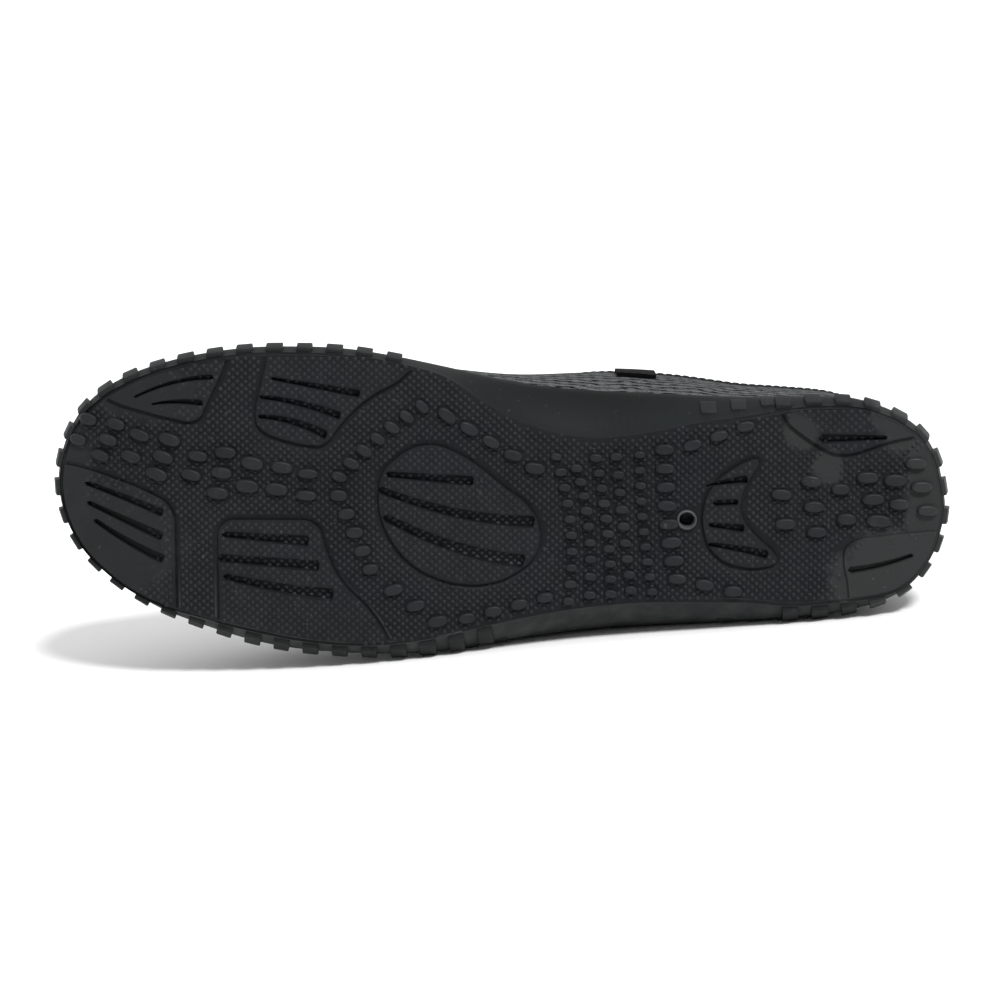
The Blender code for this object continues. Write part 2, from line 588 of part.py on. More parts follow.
def make_insole():
    inset = knit_inset(0.0) + KNIT_WALL * SLOPE_STRETCH + GAP
    shape = ring(inset, 0.0)[:, :2]
    low = BED_HEIGHT + GAP
    return prism("insole", [shape], low, low + INSOLE_THICKNESS)


def make_tab(upper):
    """Flat woven tab that follows the inner side of the collar."""
    tree = BVHTree.FromPolygons([v.co for v in upper.data.vertices], [p.vertices for p in upper.data.polygons])
    top = float(along(COLLAR, "height", TAB_STATION * LENGTH)) * HEEL_HEIGHT - TAB_BELOW_COLLAR
    points = []
    across = 4
    down = 5
    for layer in (GAP, GAP + TAB_THICKNESS):
        for j in range(down):
            for i in range(across):
                x = TAB_STATION * LENGTH + TAB_WIDTH * (i / (across - 1) - 0.5)
                z = top - TAB_HEIGHT * j / (down - 1)
                spot = tree.ray_cast(Vector((x, BALL_WIDTH, z)), Vector((0, -1, 0)))[0]
                points.append((x, spot.y + layer, z))
    faces = []
    size = across * down
    for j in range(down - 1):
        for i in range(across - 1):
            a = j * across + i
            quad = (a, a + 1, a + across + 1, a + across)
            faces.append(quad)
            faces.append(tuple(k + size for k in reversed(quad)))
    border = [i for i in range(across)]
    border += [j * across + across - 1 for j in range(1, down)]
    border += [(down - 1) * across + i for i in range(across - 2, -1, -1)]
    border += [j * across for j in range(down - 2, 0, -1)]
    for here, there in zip(border, border[1:] + border[:1]):
        faces.append((here, here + size, there + size, there))
    return outward(new_mesh("side_tab", points, faces))


def bend(thing, slice_first):
    """Cut the flat faces at the bend stations, then lift every point with the tread."""
    work = bmesh.new()
    work.from_mesh(thing.data)
    if slice_first:
        for row in BEND[1:-1]:
            geometry = work.verts[:] + work.edges[:] + work.faces[:]
            place = Vector((row.station * LENGTH, 0, 0))
            bmesh.ops.bisect_plane(work, geom=geometry, dist=1e-6, plane_co=place, plane_no=(1, 0, 0))
    bmesh.ops.remove_doubles(work, verts=work.verts, dist=1e-6)
    bmesh.ops.triangulate(work, faces=work.faces)
    for vert in work.verts:
        vert.co.z += float(lift(vert.co.x))
    work.to_mesh(thing.data)
    work.free()


def volume_centre(things):
    """Centre of mass of closed triangle meshes of one density."""
    total = 0.0
    moment = Vector((0, 0, 0))
    for thing in things:
        spots = [v.co for v in thing.data.vertices]
        for face in thing.data.polygons:
            a, b, c = (spots[i] for i in face.vertices)
            part = a.dot(b.cross(c)) / 6
            total += part
            moment += (a + b + c) * part / 4
    return moment / total


def resting_turn(things):
    """Rotation that lays the shoe on the facet of its hull that it settles on."""
    centre = volume_centre(things)
    hull = bmesh.new()
    for thing in things:
        for vert in thing.data.vertices:
            hull.verts.new(vert.co)
    bmesh.ops.convex_hull(hull, input=hull.verts)
    tree = BVHTree.FromBMesh(hull)
    down = Vector((0, -1, 0))
    for _ in range(60):
        spot, normal, _, _ = tree.ray_cast(centre, down)
        if normal.dot(spot - centre) < 0:
            normal = -normal
        if normal.dot(down) > 1 - 1e-9:
            break
        down = normal.normalized()
    hull.free()
    up = -down
    forward = Vector((1, 0, 0))
    right = -(forward - up * forward.dot(up)).normalized()
    return Matrix((right, up.cross(right), up)).to_4x4()


def lay_down(things):
    """Turn all pieces together and put the middle of their lower side on the origin."""
    turn = resting_turn(things)
    for thing in things:
        thing.data.transform(turn)
    spots = np.array([tuple(v.co) for thing in things for v in thing.data.vertices])
    low = spots.min(axis=0)
    high = spots.max(axis=0)
    shift = Matrix.Translation((-(low[0] + high[0]) / 2, -(low[1] + high[1]) / 2, -low[2]))
    for thing in things:
        thing.data.transform(shift)


def finish(thing, colour, roughness, crease):
    material = bpy.data.materials.new(thing.name + "_material")
    material.use_nodes = True
    shader = material.node_tree.nodes["Principled BSDF"]
    shader.inputs["Base Color"].default_value = (*colour, 1)
    shader.inputs["Roughness"].default_value = roughness
    shader.inputs["Metallic"].default_value = 0.0
    thing.data.materials.clear()
    thing.data.materials.append(material)
    thing.data.polygons.foreach_set("use_smooth", [True] * len(thing.data.polygons))
    thing.data.set_sharp_from_angle(angle=math.radians(crease))
    thing.data.update()


def main():
    for thing in list(bpy.data.objects):
        bpy.data.objects.remove(thing, do_unlink=True)
    upper = make_upper()
    combine(upper, collar_cutter(), "DIFFERENCE")
    outsole = make_outsole()
    insole = make_insole()
    tab = make_tab(upper)
    bend(upper, False)
    bend(outsole, True)
    bend(insole, True)
    bend(tab, False)
    lay_down([outsole, upper, insole, tab])
    finish(outsole, (0.030, 0.030, 0.034), 0.62, 32)
    finish(upper, (0.300, 0.305, 0.310), 0.90, 40)
    finish(insole, (0.035, 0.035, 0.038), 0.92, 35)
    finish(tab, (0.012, 0.012, 0.013), 0.80, 35)


main()
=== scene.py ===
"""Looks of the water shoe: studded rubber sole, knit upper, collar binding, insole and tab.

Every piece is worked out upright in the shoe's own sizes (x from heel to toe, y towards the inner
side of the foot, z up from the stud tops), bent with the sole and then laid down as the frame lies.
"""
import math
from collections import namedtuple

import bmesh
import bpy
import numpy as np
from mathutils import Matrix, Vector
from mathutils.bvhtree import BVHTree

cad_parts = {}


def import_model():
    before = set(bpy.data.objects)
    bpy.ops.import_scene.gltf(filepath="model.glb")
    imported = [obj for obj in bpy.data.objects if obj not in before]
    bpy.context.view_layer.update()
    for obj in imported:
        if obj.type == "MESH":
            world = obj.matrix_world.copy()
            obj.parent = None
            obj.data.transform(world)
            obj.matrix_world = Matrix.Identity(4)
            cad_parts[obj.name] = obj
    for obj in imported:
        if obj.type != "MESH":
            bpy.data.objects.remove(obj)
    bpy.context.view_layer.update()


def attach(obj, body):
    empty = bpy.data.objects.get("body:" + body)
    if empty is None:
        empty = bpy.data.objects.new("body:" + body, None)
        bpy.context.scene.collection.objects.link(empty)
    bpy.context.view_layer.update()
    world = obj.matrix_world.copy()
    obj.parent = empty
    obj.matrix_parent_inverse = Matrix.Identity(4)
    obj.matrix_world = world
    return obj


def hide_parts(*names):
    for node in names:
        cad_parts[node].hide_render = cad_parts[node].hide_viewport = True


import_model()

LENGTH = 0.280
BALL_WIDTH = 0.100
INSTEP_HEIGHT = 0.072
HEEL_HEIGHT = 0.072
WALL_HEIGHT = 0.020
TOE_SPRING = 0.011
ARCH_RISE = 0.0025
HEEL_BEVEL = 0.0015
GAP = 0.00032
RUBBER_WALL = 0.0019
WALL_TAPER = 0.0026
KNIT_WALL = 0.0018
BED_HEIGHT = 0.0070
BASE_LEVEL = 0.0016
PANEL_LEVEL = 0.0008
SLIT_LEVEL = 0.0030
WIDEST_HEIGHT = 0.0090
RIDGE_BACK = 0.12
RIDGE_FRONT = 0.90
CAP_SHARE = 0.12
BED_NARROWING = 0.56
SLOPE_STRETCH = 1.2
FLARE_POWER = 1.5
BLOCK_LENGTH = 0.0050
BLOCK_PITCH = 0.0091
DRAIN_AT = (0.294, -0.056)
TAB_STATION = 0.343
TAB_WIDTH = 0.0124
TAB_HEIGHT = 0.0165
TAB_THICKNESS = 0.0011
TAB_BELOW_COLLAR = 0.0015

AROUND = 340
DOT_STEP_X = 0.00127
DOT_STEP_Y = 0.00115
DOT_RADIUS = 0.00078
DOT_HEIGHT = 0.00038
PANEL_DOT_HEIGHT = 0.00026
SLIT_DOT_HEIGHT = 0.00045
LOWEST_DOT = 0.00006
STUD_CLEAR = 0.0002
GROOVE = 0.0009
SLIT_TAIL = 0.0005
DRAIN_RADIUS = 0.0023
DRAIN_CLEAR = 0.0042
DRAIN_CORNERS = 40
DRAIN_CENTRE = np.array(DRAIN_AT) * (LENGTH, BALL_WIDTH)
STITCH_PITCH = 0.0027
COURSE_PITCH = 0.0032
WEAVE_RELIEF = 0.0002

# Resting position of the shoe in the frame.
TURN = Matrix((
    (-0.9953676, 0.0960330, -0.0045699),
    (0.0000000, 0.0475334, 0.9988695),
    (0.0961417, 0.9942425, -0.0473132),
))
SHIFT = Vector((0.1384804, -0.0369070, 0.0339997))


def table(text):
    """Rows of numbers, under the names in the first line."""
    names, *lines = text.strip().splitlines()
    row = namedtuple("row", names)
    return [row(*map(float, line.split())) for line in lines]


# Outline of the sole: station as a share of LENGTH, the rest as shares of BALL_WIDTH.
SOLE = table("""
station medial lateral tread_in_medial tread_in_lateral
0.012 0.029 -0.081 0.018 0.018
0.020 0.126 -0.163 0.018 0.018
0.037 0.205 -0.240 0.018 0.020
0.059 0.254 -0.295 0.018 0.025
0.086 0.288 -0.328 0.018 0.035
0.119 0.309 -0.354 0.019 0.048
0.173 0.311 -0.378 0.024 0.061
0.228 0.306 -0.393 0.046 0.088
0.282 0.307 -0.409 0.072 0.106
0.337 0.311 -0.421 0.110 0.115
0.391 0.317 -0.434 0.134 0.114
0.446 0.332 -0.449 0.122 0.106
0.500 0.361 -0.464 0.080 0.090
0.554 0.400 -0.481 0.022 0.072
0.609 0.435 -0.487 0.012 0.051
0.663 0.459 -0.484 0.012 0.042
0.718 0.466 -0.472 0.012 0.045
0.772 0.462 -0.444 0.012 0.047
0.827 0.440 -0.396 0.014 0.036
0.871 0.408 -0.350 0.016 0.025
0.907 0.368 -0.295 0.018 0.018
0.936 0.318 -0.236 0.018 0.018
0.958 0.257 -0.175 0.018 0.018
0.973 0.185 -0.107 0.018 0.018
0.982 0.110 -0.034 0.018 0.018
""")
HEEL_TIP = (0.0095, -0.026, 0.018)
TOE_TIP = (0.985, 0.040, 0.018)

FORM = table("""
station rim ridge ridge_y square_medial square_lateral swell_medial swell_lateral widest
0 1.30 1.36 -0.03 3.0 2.6 0.004 0 0.45
0.10 1.28 1.38 -0.03 3.0 2.5 0.006 0 0.45
0.20 1.10 1.36 -0.04 3.1 2.4 0.022 0.012 0.60
0.30 0.96 1.32 -0.05 3.2 2.5 0.048 0.028 0.85
0.40 0.92 1.22 -0.05 3.0 2.4 0.052 0.028 0.90
0.50 0.90 1.05 -0.035 2.6 2.3 0.026 0.014 0.70
0.60 0.88 0.90 -0.005 2.3 2.2 0.004 0 0.46
0.70 0.88 0.75 0.020 2.3 2.3 0 0 0.45
0.80 0.92 0.60 0.035 2.3 2.3 0 0 0.45
0.88 1.00 0.50 0.045 2.2 2.2 0 0 0.45
0.95 1.08 0.44 0.050 2.2 2.2 0 0 0.45
1.00 1.10 0.42 0.050 2.2 2.2 0 0 0.45
""")

COLLAR = table("""
station height
-0.10 1.00
0.03 1.00
0.10 0.93
0.19 0.83
0.29 0.80
0.38 0.83
0.45 0.91
0.50 1.01
0.53 1.14
0.55 1.40
""")

BEND = table("""
station toe arch heel
0 0 0 1.00
0.05 0 0 0
0.25 0 0 0
0.33 0 0.50 0
0.40 0 1.00 0
0.47 0 0.75 0
0.56 0 0 0
0.74 0 0 0
0.81 0.07 0 0
0.87 0.26 0 0
0.93 0.56 0 0
1.00 1.08 0 0
""")

# Ovals: x, y in shares, tilt in degrees, long and wide in millimetres.
STUDS = table("""
x0 y0 x1 y1 bow drift count tilt0 tilt1 long wide
0.945 0.244 0.957 0.180 0 0 2 12 12 5.2 3.3
0.914 0.232 0.932 0.134 0 0 3 18 18 5.8 3.3
0.888 0.201 0.898 0.134 0 0 2 15 15 6.4 3.3
0.855 0.189 0.870 0.082 0 0 3 18 18 6.7 3.6
0.824 0.140 0.832 0.082 0 0 2 12 12 6.4 3.3
0.794 0.152 0.803 0.027 0 0 3 10 10 6.7 3.6
0.765 0.119 0.771 0.049 0 0 2 10 10 7.0 3.9
0.733 0.107 0.739 0.040 0 0 2 6 6 6.7 3.6
0.705 0.088 0.707 0.021 0 0 2 4 4 6.4 3.0
0.581 0.293 0.671 0.079 0.003 0.009 7 42 18 5.2 3.0
0.672 0.021 0.638 -0.207 0 0 5 4 -8 5.2 3.3
0.613 -0.271 0.565 -0.369 0 0 3 -15 -15 6.1 3.3
0.533 -0.360 0.448 -0.299 0 0 4 -8 -8 5.2 3.0
0.554 0.265 0.459 0.101 0 0 5 42 8 6.1 3.3
0.436 0.137 0.422 -0.310 -0.009 0.006 10 4 4 3.8 2.4
0.414 0.101 0.399 -0.291 -0.006 0.017 9 4 4 3.8 2.4
0.393 0.133 0.376 -0.287 -0.004 0 10 4 4 3.9 2.4
0.371 0.137 0.354 -0.274 0 -0.009 9 4 4 3.8 2.4
0.346 0.144 0.331 -0.278 0.003 -0.002 10 4 4 3.5 2.2
0.319 0.160 0.304 -0.238 0.003 -0.002 8 0 0 6.0 3.2
0.289 0.174 0.232 0.232 0 0 3 -18 -12 5.5 3.0
0.274 -0.256 0.243 -0.275 0 0 2 5 0 5.8 3.3
0.192 0.024 0.187 -0.067 0 0 2 2 2 6.4 3.3
0.160 0.064 0.153 -0.092 0 0 3 2 2 6.1 3.3
0.128 0.040 0.121 -0.052 0 0 2 2 2 6.1 3.6
0.099 0.076 0.086 -0.058 0 0 3 2 2 7.0 3.6
0.069 0.067 0.064 -0.006 0 0 2 2 2 6.7 3.6
0.047 0.119 0.033 -0.027 0 0 3 2 2 6.4 3.3
""")

SLITS = table("""
x0 y0 x1 y1 bow width0 width1
0.892 0.317 0.808 0.381 0.014 0.6 1.5
0.873 0.296 0.820 0.302 0.006 0.5 2.0
0.948 0.046 0.866 -0.037 0.003 1.5 2.7
0.946 -0.015 0.867 -0.110 0 1.5 3.0
0.939 -0.070 0.866 -0.180 -0.006 1.5 3.0
0.742 0.378 0.650 0.332 0 0.9 2.4
0.754 0.322 0.671 0.265 0.008 1.2 2.4
0.756 0.262 0.686 0.207 0.012 1.2 2.7
0.796 -0.101 0.707 -0.120 0 1.8 3.3
0.801 -0.174 0.696 -0.197 0 2.4 3.3
0.795 -0.232 0.681 -0.287 -0.006 2.1 3.9
0.618 0.085 0.528 0.064 0 1.8 3.0
0.626 0.037 0.462 -0.064 -0.021 2.1 3.6
0.620 -0.049 0.473 -0.186 -0.021 2.4 4.2
0.273 0.049 0.231 0.070 0.003 0.6 2.4
0.263 -0.003 0.241 0 0 1.8 1.8
0.268 -0.070 0.234 -0.081 0 1.5 2.4
0.269 -0.131 0.208 -0.162 0.003 1.2 2.7
0.148 0.195 0.081 0.198 0 2.7 1.2
0.115 -0.210 0.050 -0.165 -0.006 2.1 1.2
""")

PANELS = {
    "toe_medial": """
0.941 0.348  0.923 0.305  0.881 0.271  0.823 0.235  0.813 0.302  0.791 0.424  0.786 0.546
0.892 0.546  0.969 0.378
""",
    "toe_lateral": """
0.851 -0.476  0.851 -0.018  0.881 0.027  0.914 0.061  0.945 0.088  0.977 0.104  1.012 0.104
1.012 -0.232  0.936 -0.445
""",
    "forefoot_medial": """
0.74 0.546  0.753 0.378  0.763 0.271  0.758 0.22  0.734 0.192  0.702 0.171  0.684 0.174
0.669 0.241  0.64 0.32  0.596 0.384  0.565 0.546
""",
    "forefoot_lateral": """
0.804 -0.537  0.804 -0.055  0.694 -0.055  0.687 -0.146  0.672 -0.244  0.635 -0.345  0.598 -0.537
""",
    "ball_fan": """
0.63 0.027  0.626 0.088  0.617 0.119  0.598 0.162  0.575 0.18  0.552 0.165  0.524 0.119
0.495 0.049  0.462 -0.018  0.451 -0.095  0.456 -0.171  0.478 -0.223  0.505 -0.256  0.538 -0.259
0.571 -0.232  0.598 -0.186  0.617 -0.116  0.628 -0.043
""",
    "heel_crescent": """
0.211 0.146  0.225 0.073  0.237 0.012  0.235 -0.049  0.22 -0.104  0.19 -0.174  0.204 -0.204
0.238 -0.204  0.265 -0.168  0.277 -0.095  0.278 -0.018  0.269 0.049  0.244 0.11
""",
    "heel_medial": """
0.2 0.378  0.192 0.256  0.173 0.21  0.146 0.159  0.126 0.143  0.105 0.156  0.075 0.189
0.048 0.201  -0.007 0.256  -0.001 0.378
""",
    "heel_lateral": """
0.121 -0.445  0.116 -0.268  0.126 -0.171  0.118 -0.116  0.053 -0.095  -0.012 -0.085  -0.012 -0.445
""",
}

BlockRun = namedtuple("BlockRun", "side station count low high proud")
BLOCKS = [
    BlockRun("lateral", 0.512, 32, 0.13, 0.42, 1.4),
    BlockRun("lateral", 0.497, 2, 0.48, 0.64, 0.4),
    BlockRun("medial_back", 0.190, 16, 0.13, 0.42, 1.4),
    BlockRun("medial_back", 0.2725, 3, 0.26, 0.52, 0.7),
    BlockRun("lateral_back", 0.250, 4, 0.48, 0.64, 0.4),
]

# Ovals where the rubber is rubbed smooth and pale: centre and half sizes in shares.
WORN = table("""
x y along across pale
0.975 0.050 0.030 0.330 0.45
0.920 -0.150 0.062 0.180 0.35
0.885 0.325 0.062 0.085 0.30
0.028 0.020 0.028 0.240 0.90
0.062 0.245 0.036 0.080 0.80
0.078 -0.225 0.062 0.125 1.00
0.172 0.215 0.020 0.055 0.75
0.142 0.105 0.016 0.055 0.75
""")


def column(rows, name):
    return np.array([getattr(row, name) for row in rows])


def along(rows, name, x):
    """Table column read at distance x from the heel, smoothed between its rows."""
    stations = column(rows, "station")
    values = column(rows, name)
    place = np.clip(np.asarray(x) / LENGTH, stations[0], stations[-1])
    slopes = np.gradient(values, stations)
    left = np.clip(np.searchsorted(stations, place, side="right") - 1, 0, len(stations) - 2)
    step = stations[left + 1] - stations[left]
    t = (place - stations[left]) / step
    start = values[left] * (1 + 2 * t) * (1 - t) ** 2 + values[left + 1] * t * t * (3 - 2 * t)
    return start + step * (slopes[left] * t * (1 - t) ** 2 - slopes[left + 1] * t * t * (1 - t))


def lift(x):
    """Height of the bent tread plane, rounded off over a few millimetres."""
    rise = column(BEND, "toe") * TOE_SPRING + column(BEND, "arch") * ARCH_RISE
    rise = rise + column(BEND, "heel") * HEEL_BEVEL
    total = 0.0
    for nudge in (-0.018, -0.006, 0.006, 0.018):
        total = total + np.interp(np.asarray(x) / LENGTH + nudge, column(BEND, "station"), rise)
    return total / 4


def unit(vectors):
    return vectors / np.maximum(np.linalg.norm(vectors, axis=-1), 1e-12)[..., None]


def span(loop, step=1, axis=0):
    """From the point before to the point after, all round a loop."""
    return np.roll(loop, -step, axis=axis) - np.roll(loop, step, axis=axis)


def closed(loop):
    return np.vstack([loop, loop[:1]])


def distances(line):
    """Way covered at each point of a line."""
    return np.concatenate([[0], np.cumsum(np.linalg.norm(np.diff(line, axis=0), axis=1))])


def outline():
    """Loop round the widest rubber: plan points, plan normals, tread inset, medial flag."""
    inner = [(row.station, row.medial, row.tread_in_medial) for row in SOLE]
    outer = [(row.station, row.lateral, row.tread_in_lateral) for row in reversed(SOLE)]
    knots = np.array([HEEL_TIP] + inner + [TOE_TIP] + outer) * (LENGTH, BALL_WIDTH, BALL_WIDTH)
    before = np.roll(knots, 1, axis=0)
    after = np.roll(knots, -1, axis=0)
    beyond = np.roll(knots, -2, axis=0)
    fine = []
    for t in np.arange(0, 1, 0.05):
        bend = 2 * before - 5 * knots + 4 * after - beyond
        turn = 3 * knots - 3 * after + beyond - before
        fine.append(0.5 * (2 * knots + (after - before) * t + bend * t * t + turn * t ** 3))
    dense = closed(np.stack(fine, axis=1).reshape(-1, 3))
    run = distances(dense[:, :2])
    places = np.linspace(0, run[-1], AROUND, endpoint=False)
    loop = np.stack([np.interp(places, run, dense[:, i]) for i in range(3)], axis=1)
    tangent = span(loop[:, :2], 2)
    normal = unit(np.stack([-tangent[:, 1], tangent[:, 0]], axis=1))
    medial = np.arange(AROUND) < int(np.argmax(loop[:, 0]))
    return loop[:, :2], normal, loop[:, 2], medial, places


PLAN, NORMAL, TREAD_IN, MEDIAL, RUN = outline()
RIM = along(FORM, "rim", PLAN[:, 0]) * WALL_HEIGHT
WIDEST = np.maximum(along(FORM, "widest", PLAN[:, 0]) * WALL_HEIGHT, WIDEST_HEIGHT * 0.9)
TAPER = WALL_TAPER * (RIM - WIDEST) / WALL_HEIGHT


def ring(inset, height):
    flat = PLAN - NORMAL * np.broadcast_to(inset, (AROUND,))[:, None]
    return np.column_stack([flat, np.broadcast_to(height, (AROUND,))])


def wall_ring(share):
    return ring(TREAD_IN * (1 - share) ** FLARE_POWER, BASE_LEVEL + (WIDEST - BASE_LEVEL) * share)


def knit_inset(share):
    return TAPER + GAP + RUBBER_WALL + TREAD_IN * BED_NARROWING * (1 - share) ** FLARE_POWER


def knit_height(share):
    return BED_HEIGHT + GAP + (RIM - BED_HEIGHT - GAP) * share


def upper_ring(share):
    """Ring of the knit between rubber rim (0) and the band along the top line (1)."""
    rim_plan = ring(knit_inset(1.0), RIM)[:, :2]
    ridge_x = (RIDGE_BACK + (RIDGE_FRONT - RIDGE_BACK) * PLAN[:, 0] / LENGTH) * LENGTH
    ridge = np.column_stack([ridge_x, along(FORM, "ridge_y", ridge_x) * BALL_WIDTH])
    top = along(FORM, "ridge", ridge_x) * INSTEP_HEIGHT
    x = PLAN[:, 0]
    square = np.where(MEDIAL, along(FORM, "square_medial", x), along(FORM, "square_lateral", x))
    swell = np.where(MEDIAL, along(FORM, "swell_medial", x), along(FORM, "swell_lateral", x))
    angle = math.acos(CAP_SHARE ** 1.2) * share
    narrow = np.cos(angle) ** (2 / square)
    high = np.sin(angle) ** (2 / square)
    flat = ridge + (rim_plan - ridge) * narrow[:, None]
    flat = flat + NORMAL * (swell * BALL_WIDTH * 4 * high * (1 - high))[:, None]
    return np.column_stack([flat, RIM + (top - RIM) * high])


def band(first, second, count=AROUND):
    """Faces between two rings of points."""
    ahead = [(i + 1) % count for i in range(count)]
    return [(first + i, first + j, second + j, second + i) for i, j in enumerate(ahead)]


def skin(levels, count=AROUND, start=0):
    """Faces between stacked rings of points."""
    faces = []
    for level in range(levels - 1):
        faces += band(start + level * count, start + (level + 1) * count, count)
    return faces


def lid(start, count=AROUND):
    return tuple(range(start, start + count))


def cap_faces(start):
    half = AROUND // 2
    faces = [(start, start + 1, start + AROUND - 1)]
    for i in range(1, half - 1):
        faces.append((start + i, start + i + 1, start + AROUND - i - 1, start + AROUND - i))
    faces.append((start + half - 1, start + half, start + half + 1))
    return faces


def linked(name, data):
    thing = bpy.data.objects.new(name, data)
    bpy.context.scene.collection.objects.link(thing)
    return thing


def new_piece(name, points, faces, uv=None):
    mesh = bpy.data.meshes.new(name)
    mesh.from_pydata([tuple(p) for p in points], [], faces)
    if uv is not None:
        layer = mesh.uv_layers.new(name="knit")
        corners = np.zeros(len(mesh.loops), dtype=np.int32)
        mesh.loops.foreach_get("vertex_index", corners)
        layer.data.foreach_set("uv", uv[corners].astype(np.float32).ravel())
    return linked(name, mesh)


def outward(thing):
    work = bmesh.new()
    work.from_mesh(thing.data)
    bmesh.ops.recalc_face_normals(work, faces=work.faces)
    work.to_mesh(thing.data)
    work.free()
    return thing


def prism(name, outlines, levels):
    """Upright solids: each outline is drawn in by the inset of each level and set at its height."""
    points, faces = [], []
    for shape in outlines:
        shape = np.asarray(shape)
        count = len(shape)
        start = len(points)
        for inset, height in levels:
            flat = shape - loop_normals(shape) * inset
            points += [(x, y, height) for x, y in flat]
        faces += skin(len(levels), count, start)
        faces += [lid(start, count), lid(start + (len(levels) - 1) * count, count)[::-1]]
    return outward(new_piece(name, points, faces))


def loop_normals(shape):
    """Outward normals of a closed plan outline."""
    tangent = span(shape)
    normal = unit(np.column_stack([tangent[:, 1], -tangent[:, 0]]))
    x, y = shape[:, 0], shape[:, 1]
    area = np.sum(x * np.roll(y, -1) - np.roll(x, -1) * y)
    return normal if area > 0 else -normal


def combine(target, tool, kind):
    cut = target.modifiers.new(kind.lower(), "BOOLEAN")
    cut.operation = kind
    cut.solver = "EXACT"
    cut.object = tool
    bpy.context.view_layer.update()
    graph = bpy.context.evaluated_depsgraph_get()
    done = bpy.data.meshes.new_from_object(target.evaluated_get(graph))
    target.modifiers.clear()
    target.data = done
    bpy.data.objects.remove(tool)


def softened(corners, cuts=(0.0030, 0.0010, 0.0004)):
    """Closed outline with its corners cut back by a set length again and again, for a round look."""
    shape = np.array(corners, dtype=float)
    for cut in cuts:
        edge = np.roll(shape, -1, axis=0) - shape
        part = edge * np.minimum(cut / np.linalg.norm(edge, axis=1)[:, None], 0.30)
        shape = np.stack([shape + part, shape + edge - part], axis=1).reshape(-1, 2)
    return shape


PANEL_SHAPES = [softened(np.array(places.split(), float).reshape(-1, 2) * (LENGTH, BALL_WIDTH))
                for places in PANELS.values()]


def stud_places():
    rows = []
    for run in STUDS:
        for i in range(int(run.count)):
            t = i / (run.count - 1)
            x = (run.x0 + (run.x1 - run.x0) * t + run.bow * 4 * t * (1 - t)) * LENGTH
            y = (run.y0 + (run.y1 - run.y0) * t + run.drift * 4 * t * (1 - t)) * BALL_WIDTH
            tilt = math.radians(run.tilt0 + (run.tilt1 - run.tilt0) * t)
            rows.append((x, y, tilt, run.long / 2000, run.wide / 2000))
    return np.array(rows)


STUD_ROWS = stud_places()


def slit_shapes(extra=0.0):
    shapes = []
    for slit in SLITS:
        start = np.array([slit.x0 * LENGTH, slit.y0 * BALL_WIDTH])
        end = np.array([slit.x1 * LENGTH, slit.y1 * BALL_WIDTH])
        run = (end - start) / np.linalg.norm(end - start)
        side = np.array([-run[1], run[0]])
        left = []
        right = []
        for t in np.linspace(0, 1, 11):
            middle = start + (end - start) * t + (0, slit.bow * 4 * t * (1 - t) * BALL_WIDTH)
            half = (slit.width0 + (slit.width1 - slit.width0) * t) / 2000 + extra
            left.append(middle + side * half)
            right.append(middle - side * half)
        nose = start - run * (slit.width0 / 2000 + extra)
        half = slit.width1 / 2000 + extra
        tip = end + run * (SLIT_TAIL + extra)
        tail = [tip + side * half * 0.55, tip - side * half * 0.55]
        shapes.append(np.array([nose] + left + tail + right[::-1]))
    return shapes


def inside(points, shape):
    """Which plan points lie inside a closed outline."""
    x, y = points[:, 0], points[:, 1]
    hit = np.zeros(len(points), dtype=bool)
    for (x0, y0), (x1, y1) in zip(shape, np.roll(shape, -1, axis=0)):
        if y0 == y1:
            continue
        crosses = (y0 > y) != (y1 > y)
        hit ^= crosses & (x < (x1 - x0) * (y - y0) / (y1 - y0) + x0)
    return hit


def worn_share(points):
    """How worn a plan point is, from 0 to 1, with a wavy edge."""
    x, y = points[:, 0], points[:, 1]
    waves = np.sin(x * 700 + 3 * np.sin(y * 400)) + np.sin(y * 900 + 2 * np.sin(x * 520 + 1.0))
    share = np.zeros(len(points))
    for spot in WORN:
        away = np.hypot((x / LENGTH - spot.x) / spot.along, (y / BALL_WIDTH - spot.y) / spot.across)
        share = np.maximum(share, np.clip((1.05 + waves * 0.11 - away) / 0.22, 0, 1))
    return share


def lay(thing, slices=0):
    """Bend a flat piece with the sole, turn it into its resting place and shade it."""
    work = bmesh.new()
    work.from_mesh(thing.data)
    if slices:
        for x in np.linspace(0, LENGTH, slices)[1:-1]:
            all_parts = work.verts[:] + work.edges[:] + work.faces[:]
            place = {"plane_co": (x, 0, 0), "plane_no": (1, 0, 0)}
            bmesh.ops.bisect_plane(work, geom=all_parts, dist=1e-6, **place)
    bmesh.ops.triangulate(work, faces=[f for f in work.faces if len(f.verts) > 4])
    lows = lift(np.array([v.co.x for v in work.verts]))
    for vert, low in zip(work.verts, lows):
        vert.co.z += low
        vert.co = TURN @ vert.co + SHIFT
    work.to_mesh(thing.data)
    work.free()
    thing.data.polygons.foreach_set("use_smooth", [True] * len(thing.data.polygons))
    return thing


def world(point):
    x, y, z = point
    return TURN @ Vector((x, y, z + float(lift(x)))) + SHIFT


# Rubber sole

# Depth of the ditch round the tread: deep at the toe, faint in the waist.
DITCH_STATIONS = (0.0, 0.08, 0.20, 0.35, 0.55, 0.80, 0.93, 1.0)
DITCH_SHARES = (0.6, 0.6, 0.3, 0.1, 0.1, 0.4, 1.1, 1.3)
# Panels whose surrounding groove is rubbed away.
WORN_FLUSH = ("heel_lateral",)
EDGE_DITCH = GROOVE * np.interp(PLAN[:, 0] / LENGTH, DITCH_STATIONS, DITCH_SHARES)


